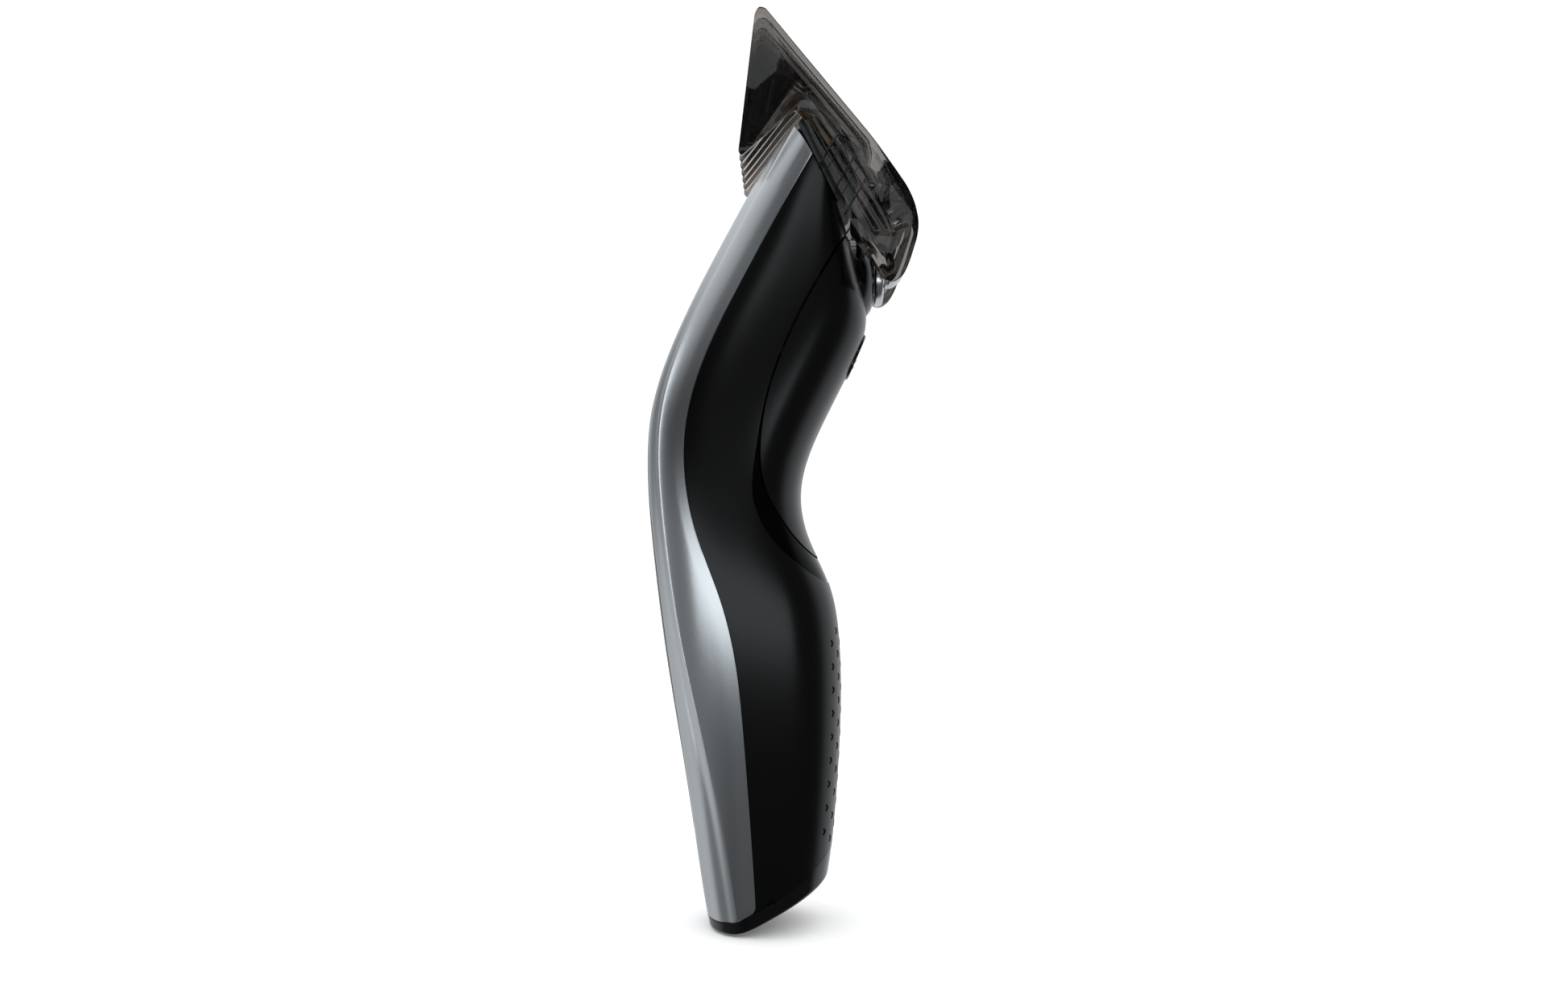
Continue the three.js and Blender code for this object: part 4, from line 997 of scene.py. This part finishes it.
def make_comb():
    """The clear comb: side walls, webs, guide rails and clips in one piece, then its teeth and its marks."""
    inner = COMB_HALF - COMB_WALL
    bonded = inner + OVERLAP
    pieces = comb_walls()
    web_top = [(21.4, 160.9), (22.7, 159, 3), (25.2, 155.4, 2), (26.6, 152.2, 0.5), (25, 151.7, 0.5),
               (23.8, 154.6, 2), (21.1, 158.4), (20.2, 159.9, 0.5)]
    web_low = [(26.6, 152.2, 0.3)] + COMB_HEEL[1:] + [
        (21, 137.6, 0.5), (22.3, 137.7), (23.2, 138.6), (24.2, 141, 2), (25.8, 145.8, 2), (26, 148.4, 2),
        (25, 151.7, 0.3)]
    # The rails are stepped where the marks start.
    rail = [face_point(0.4, 3.4), (4.7, 174, 0.2), (11, 166.4, 0.1), (10.6, 165.7, 0.1), (11.8, 164.3, 0.1),
            (12.1, 164.6, 0.1), (14.3, 161.7, 0.1), (14, 160.8, 0.1), (14.9, 159.3, 0.1), (15.2, 159.5, 0.1),
            (16.7, 157.2, 0.1), (16.4, 156.4, 0.1), (22.8, 146.8, 0.5), (20.6, 141.6), face_point(24, 2.2)]
    pad = [(25.4, 152.8), (24.4, 154.4), (22.3, 153.2), (22.9, 151.3)]
    pieces.append(side_plate("web", rounded(web_top, 0.6), -bonded, bonded))
    pieces += both_sides("web", rounded(web_low, 0.6), 11, bonded)
    pieces += [bevelled(p, 0.15, 2) for p in both_sides("rail", rounded(rail, 0.5), inner - 1.3, bonded)]
    pieces += both_sides("pad", rounded(pad, 0.3), 7.5, 13)
    pieces += both_sides("stub", bar_outline((22.4, 146.9), (26.4, 149.0), 1.3), inner - 0.9, bonded)
    pieces += both_sides("stub", bar_outline((21.2, 149.6), (24.6, 151.6), 1.1), inner - 0.9, bonded)
    finish_piece(joined("comb_clear", pieces), "comb", SMOKE, "smoky_clear", "comb")
    make_comb_teeth()
    make_comb_marks()


def comb_walls():
    """The comb's two side walls, with a shallow recess and three ribs sunk into their outer faces."""
    wall = COMB_TIP + COMB_SKIN + COMB_HEEL + [
        (13.4, 145.9), face_point(22.5, 0.9), face_point(0.6, 1.4), (2, 171.2)] + COMB_CORNER
    recess = [(-5.9, 189.8, 0.3), (-4.2, 189.4, 0.6), (0.65, 184), (13.1, 169.1, 3), (17.4, 163.9, 3),
              (21.45, 158.1, 3), (23, 154.3, 2), (22.7, 151.4, 2), (21.25, 149.3, 1.2), (19.5, 151.5, 1),
              (17.4, 156.2), (11.3, 166.7), (4.9, 174.9, 0.5), (2, 173), (-6, 164.2), (-14, 164.2),
              (-10, 189.8)]
    ribs = [((6.6, 170.2), (20.6, 146.6)), ((5.4, 169.0), (18.6, 146.4)), ((20.2, 151.2), (22.6, 146.2))]
    walls = []
    for sign in (1, -1):
        outer, beyond = sign * COMB_HALF, sign * (COMB_HALF + 1)
        plate = side_plate("wall", rounded(wall, 0.8), sign * (COMB_HALF - COMB_WALL), outer)
        cuts = [side_plate("recess", rounded(recess, 0.8), sign * (COMB_HALF - 0.35), beyond)]
        for start, end in ribs:
            cuts.append(side_plate("rib", bar_outline(start, end, 0.7), sign * (COMB_HALF - 0.4), beyond))
        walls.append(bevelled(carved(plate, cuts), 0.16))
    return walls


def make_comb_teeth():
    """The comb's middle teeth: thin plates that run from the tip down to the web."""
    outline = rounded(COMB_TIP + COMB_SKIN + [
        (26.6, 152.2, 2), (26.9, 149.8, 1.5), (25.4, 149), (22.9, 150.4), (22.6, 153.9), (18.5, 156.6, 2),
        (17, 161.6, 2), (13.4, 167.2, 2), (6.4, 175.9, 0.8), (5.2, 177.4, 0.8), (3.4, 176.6, 0.8),
        (0.6, 173.7, 1)] + COMB_CORNER, 0.8)
    pitch = (2 * COMB_HALF - COMB_WALL) / (TOOTH_COUNT - 1)
    first = -COMB_HALF + COMB_WALL / 2
    for i in range(1, TOOTH_COUNT - 1):
        y = first + i * pitch
        tooth = side_plate(f"comb_tooth_{i}", outline, y - TOOTH_THICK / 2, y + TOOTH_THICK / 2)
        soften(tooth, 0.3)
        finish_piece(tooth, "comb", SMOKE_TEETH, "smoky_clear")


def make_comb_marks():
    """Dark lines let into the comb's sides, the round peg above them and the snap hooks at the heel."""
    parts = []
    neck = np.array([NECK.x, NECK.z])
    for x, z, length, width in MARKS:
        top = np.array([x, z])
        line = bar_outline(top, top - neck * length, width)
        parts += both_sides("mark", line, COMB_HALF - MARK_DEPTH, COMB_HALF + PROUD)
    peg = [(0, -1.2), (0.62, -1.2), (0.75, -1.0), (0.75, 0.0), (0.5, 0.05), (0, 0.05)]
    for sign in (1, -1):
        parts.append(turned("peg", peg, (17.9, sign * COMB_HALF, 155.6), (0, sign, 0), 40))
    hook = [(19.4, 144.2), (20.6, 143.6), (22.4, 141.2), (22.6, 139.2), (21.4, 138.0), (19.8, 139.4),
            (20.4, 140.0), (21.3, 139.2), (21.8, 139.8), (21.6, 140.9), (20.2, 142.8), (19.2, 143.4)]
    parts += both_sides("hook", rounded(hook, 0.5), COMB_HALF - 2.8, COMB_HALF - 1.45)
    finish_piece(joined("comb_marks", parts), "comb", GLOSS, "gloss_black")


# ---------- stage
CAMERA_LENS = 35.85     # millimetres, on a sensor 36 wide
CAMERA_BACK = 0.340     # metres
CAMERA_HEIGHT = 0.0931
BACKDROP = 1.09         # plain white behind the clipper
FLOOR_LIFT = 0.3        # what is added to it where it lights the floor
BOUNCES = 24            # enough to see through all of the comb's plates


def softbox(name, location, target, width, height, radiance):
    """A rectangular light that the camera does not see. radiance is how bright its reflection looks."""
    light = bpy.data.lights.new(name, "AREA")
    light.shape = "RECTANGLE"
    light.size, light.size_y = width, height
    light.energy = radiance * 4 * width * height
    light.color = (0.92, 0.97, 1.0)
    obj = bpy.data.objects.new(name, light)
    obj.location = location
    direction = Vector(target) - Vector(location)
    obj.rotation_euler = direction.to_track_quat("-Z", "Y").to_euler()
    obj.visible_camera = False
    bpy.context.scene.collection.objects.link(obj)


def make_camera():
    camera = bpy.data.cameras.new("camera")
    camera.lens = CAMERA_LENS
    camera.sensor_width = 36
    camera.clip_start = 0.01
    obj = bpy.data.objects.new("camera", camera)
    obj.location = (ORIGIN_SHIFT * MM, -CAMERA_BACK, CAMERA_HEIGHT)
    obj.rotation_euler = (math.pi / 2, 0, 0)
    bpy.context.scene.collection.objects.link(obj)
    bpy.context.scene.camera = obj


def studio_sky(nodes, links):
    """What the object mirrors: dim in front, a pale wall behind, a bright screen over the left shoulder."""
    where = add_node(nodes, "TexCoord")
    split = add_node(nodes, "SeparateXYZ")
    links.new(where.outputs["Generated"], split.inputs[0])

    def ramp(socket, start, end, low, high):
        """From low to high as one part of the direction goes from start to end."""
        node = add_node(nodes, "MapRange",
                        {"From Min": start, "From Max": end, "To Min": low, "To Max": high})
        node.interpolation_type = "SMOOTHSTEP"
        links.new(split.outputs[socket], node.inputs["Value"])
        return node.outputs["Result"]

    def combine(operation, a, b):
        node = add_node(nodes, "Math")
        node.operation = operation
        links.new(a, node.inputs[0])
        links.new(b, node.inputs[1])
        return node.outputs[0]

    # shade dims the wall to the left, except low down. flank is a low light on that side.
    shade = combine("MAXIMUM", ramp("X", -0.62, -0.2, 0.3, 1.0), ramp("Z", -0.16, 0.02, 0.7, 0.0))
    wall = combine("MULTIPLY", ramp("Y", -0.05, 0.4, 0.09, 0.72), shade)
    flank = combine("MULTIPLY", ramp("X", -0.95, -0.35, 0.15, 0.0), ramp("Z", -0.14, 0.03, 1.0, 0.0))
    screen = combine("MULTIPLY", ramp("Z", 0.25, 0.6, 0, 0.85), ramp("X", 0.3, 0.9, 1.0, 0.0))
    aside = combine("MULTIPLY", screen, ramp("Y", -0.7, 0.3, 0.15, 1.0))
    return combine("ADD", combine("ADD", wall, flank), aside)


def backdrop_strength(nodes, links):
    """White for what looks straight at the backdrop, and brighter still as light on the floor."""
    path = add_node(nodes, "LightPath")
    strength = add_node(nodes, "Math", {1: FLOOR_LIFT, 2: BACKDROP})
    strength.operation = "MULTIPLY_ADD"
    links.new(path.outputs["Is Diffuse Ray"], strength.inputs[0])
    return strength.outputs[0]


def make_stage():
    reach, z = 4, -0.0002
    corners = [(-reach, -reach, z), (reach, -reach, z), (reach, reach, z), (-reach, reach, z)]
    floor = new_object("floor", corners, [(0, 1, 2, 3)])
    paper = material("paper", (0.95, 0.95, 0.95), 0.8, grain=60, bump=0.01, mottle=0.005)
    floor.data.materials.append(paper)
    floor.visible_glossy = False
    make_world()

    softbox("handle_strip", (-0.018, -0.14, 0.058), (-0.01, 0, 0.069), 0.265, 0.036, 1.5)
    softbox("head_strip", (-0.02, -0.30, 0.225), (0.01, 0, 0.16), 0.22, 0.06, 1.6)
    softbox("crease_strip", (-0.30, 0.015, 0.10), (-0.02, -0.01, 0.10), 0.03, 0.30, 2.6)
    scene = bpy.context.scene
    scene.view_settings.view_transform = "Standard"
    scene.cycles.max_bounces = BOUNCES
    scene.cycles.transmission_bounces = BOUNCES


def make_world():
    """Plain white to look at and as light, but the studio's sky in mirrored rays."""
    world = bpy.data.worlds.new("studio")
    bpy.context.scene.world = world
    world.use_nodes = True
    nodes, links = world.node_tree.nodes, world.node_tree.links
    nodes.clear()
    output = add_node(nodes, "OutputWorld")
    plain = add_node(nodes, "Background", {"Color": (1, 1, 1, 1)})
    links.new(backdrop_strength(nodes, links), plain.inputs["Strength"])
    mirrored = add_node(nodes, "Background", {"Color": (0.94, 0.97, 1, 1)})
    links.new(studio_sky(nodes, links), mirrored.inputs["Strength"])
    path = add_node(nodes, "LightPath")
    reflected = add_node(nodes, "Math", {1: 0.5})
    reflected.operation = "GREATER_THAN"
    links.new(path.outputs["Glossy Depth"], reflected.inputs[0])
    mix = add_node(nodes, "MixShader")
    links.new(reflected.outputs[0], mix.inputs["Fac"])
    links.new(plain.outputs[0], mix.inputs[1])
    links.new(mirrored.outputs[0], mix.inputs[2])
    links.new(mix.outputs[0], output.inputs["Surface"])


make_camera()
finish_cad_nodes()
make_silver_frame()
make_back_panel("back_panel_upper_gloss", PANEL_SPLIT + SEAM / 2, PANEL_HIGH, "back_panel_upper")
make_back_panel("back_panel_lower_gloss", PANEL_LOW, PANEL_SPLIT - SEAM / 2, "back_panel_lower")
make_main_shell()
make_front_cover()
make_thumb_trim_with_shade()
make_bottom_cap()
make_pod()
make_dial()
make_button()
make_grip_dots()
make_cutting_unit()
make_comb()
make_stage()
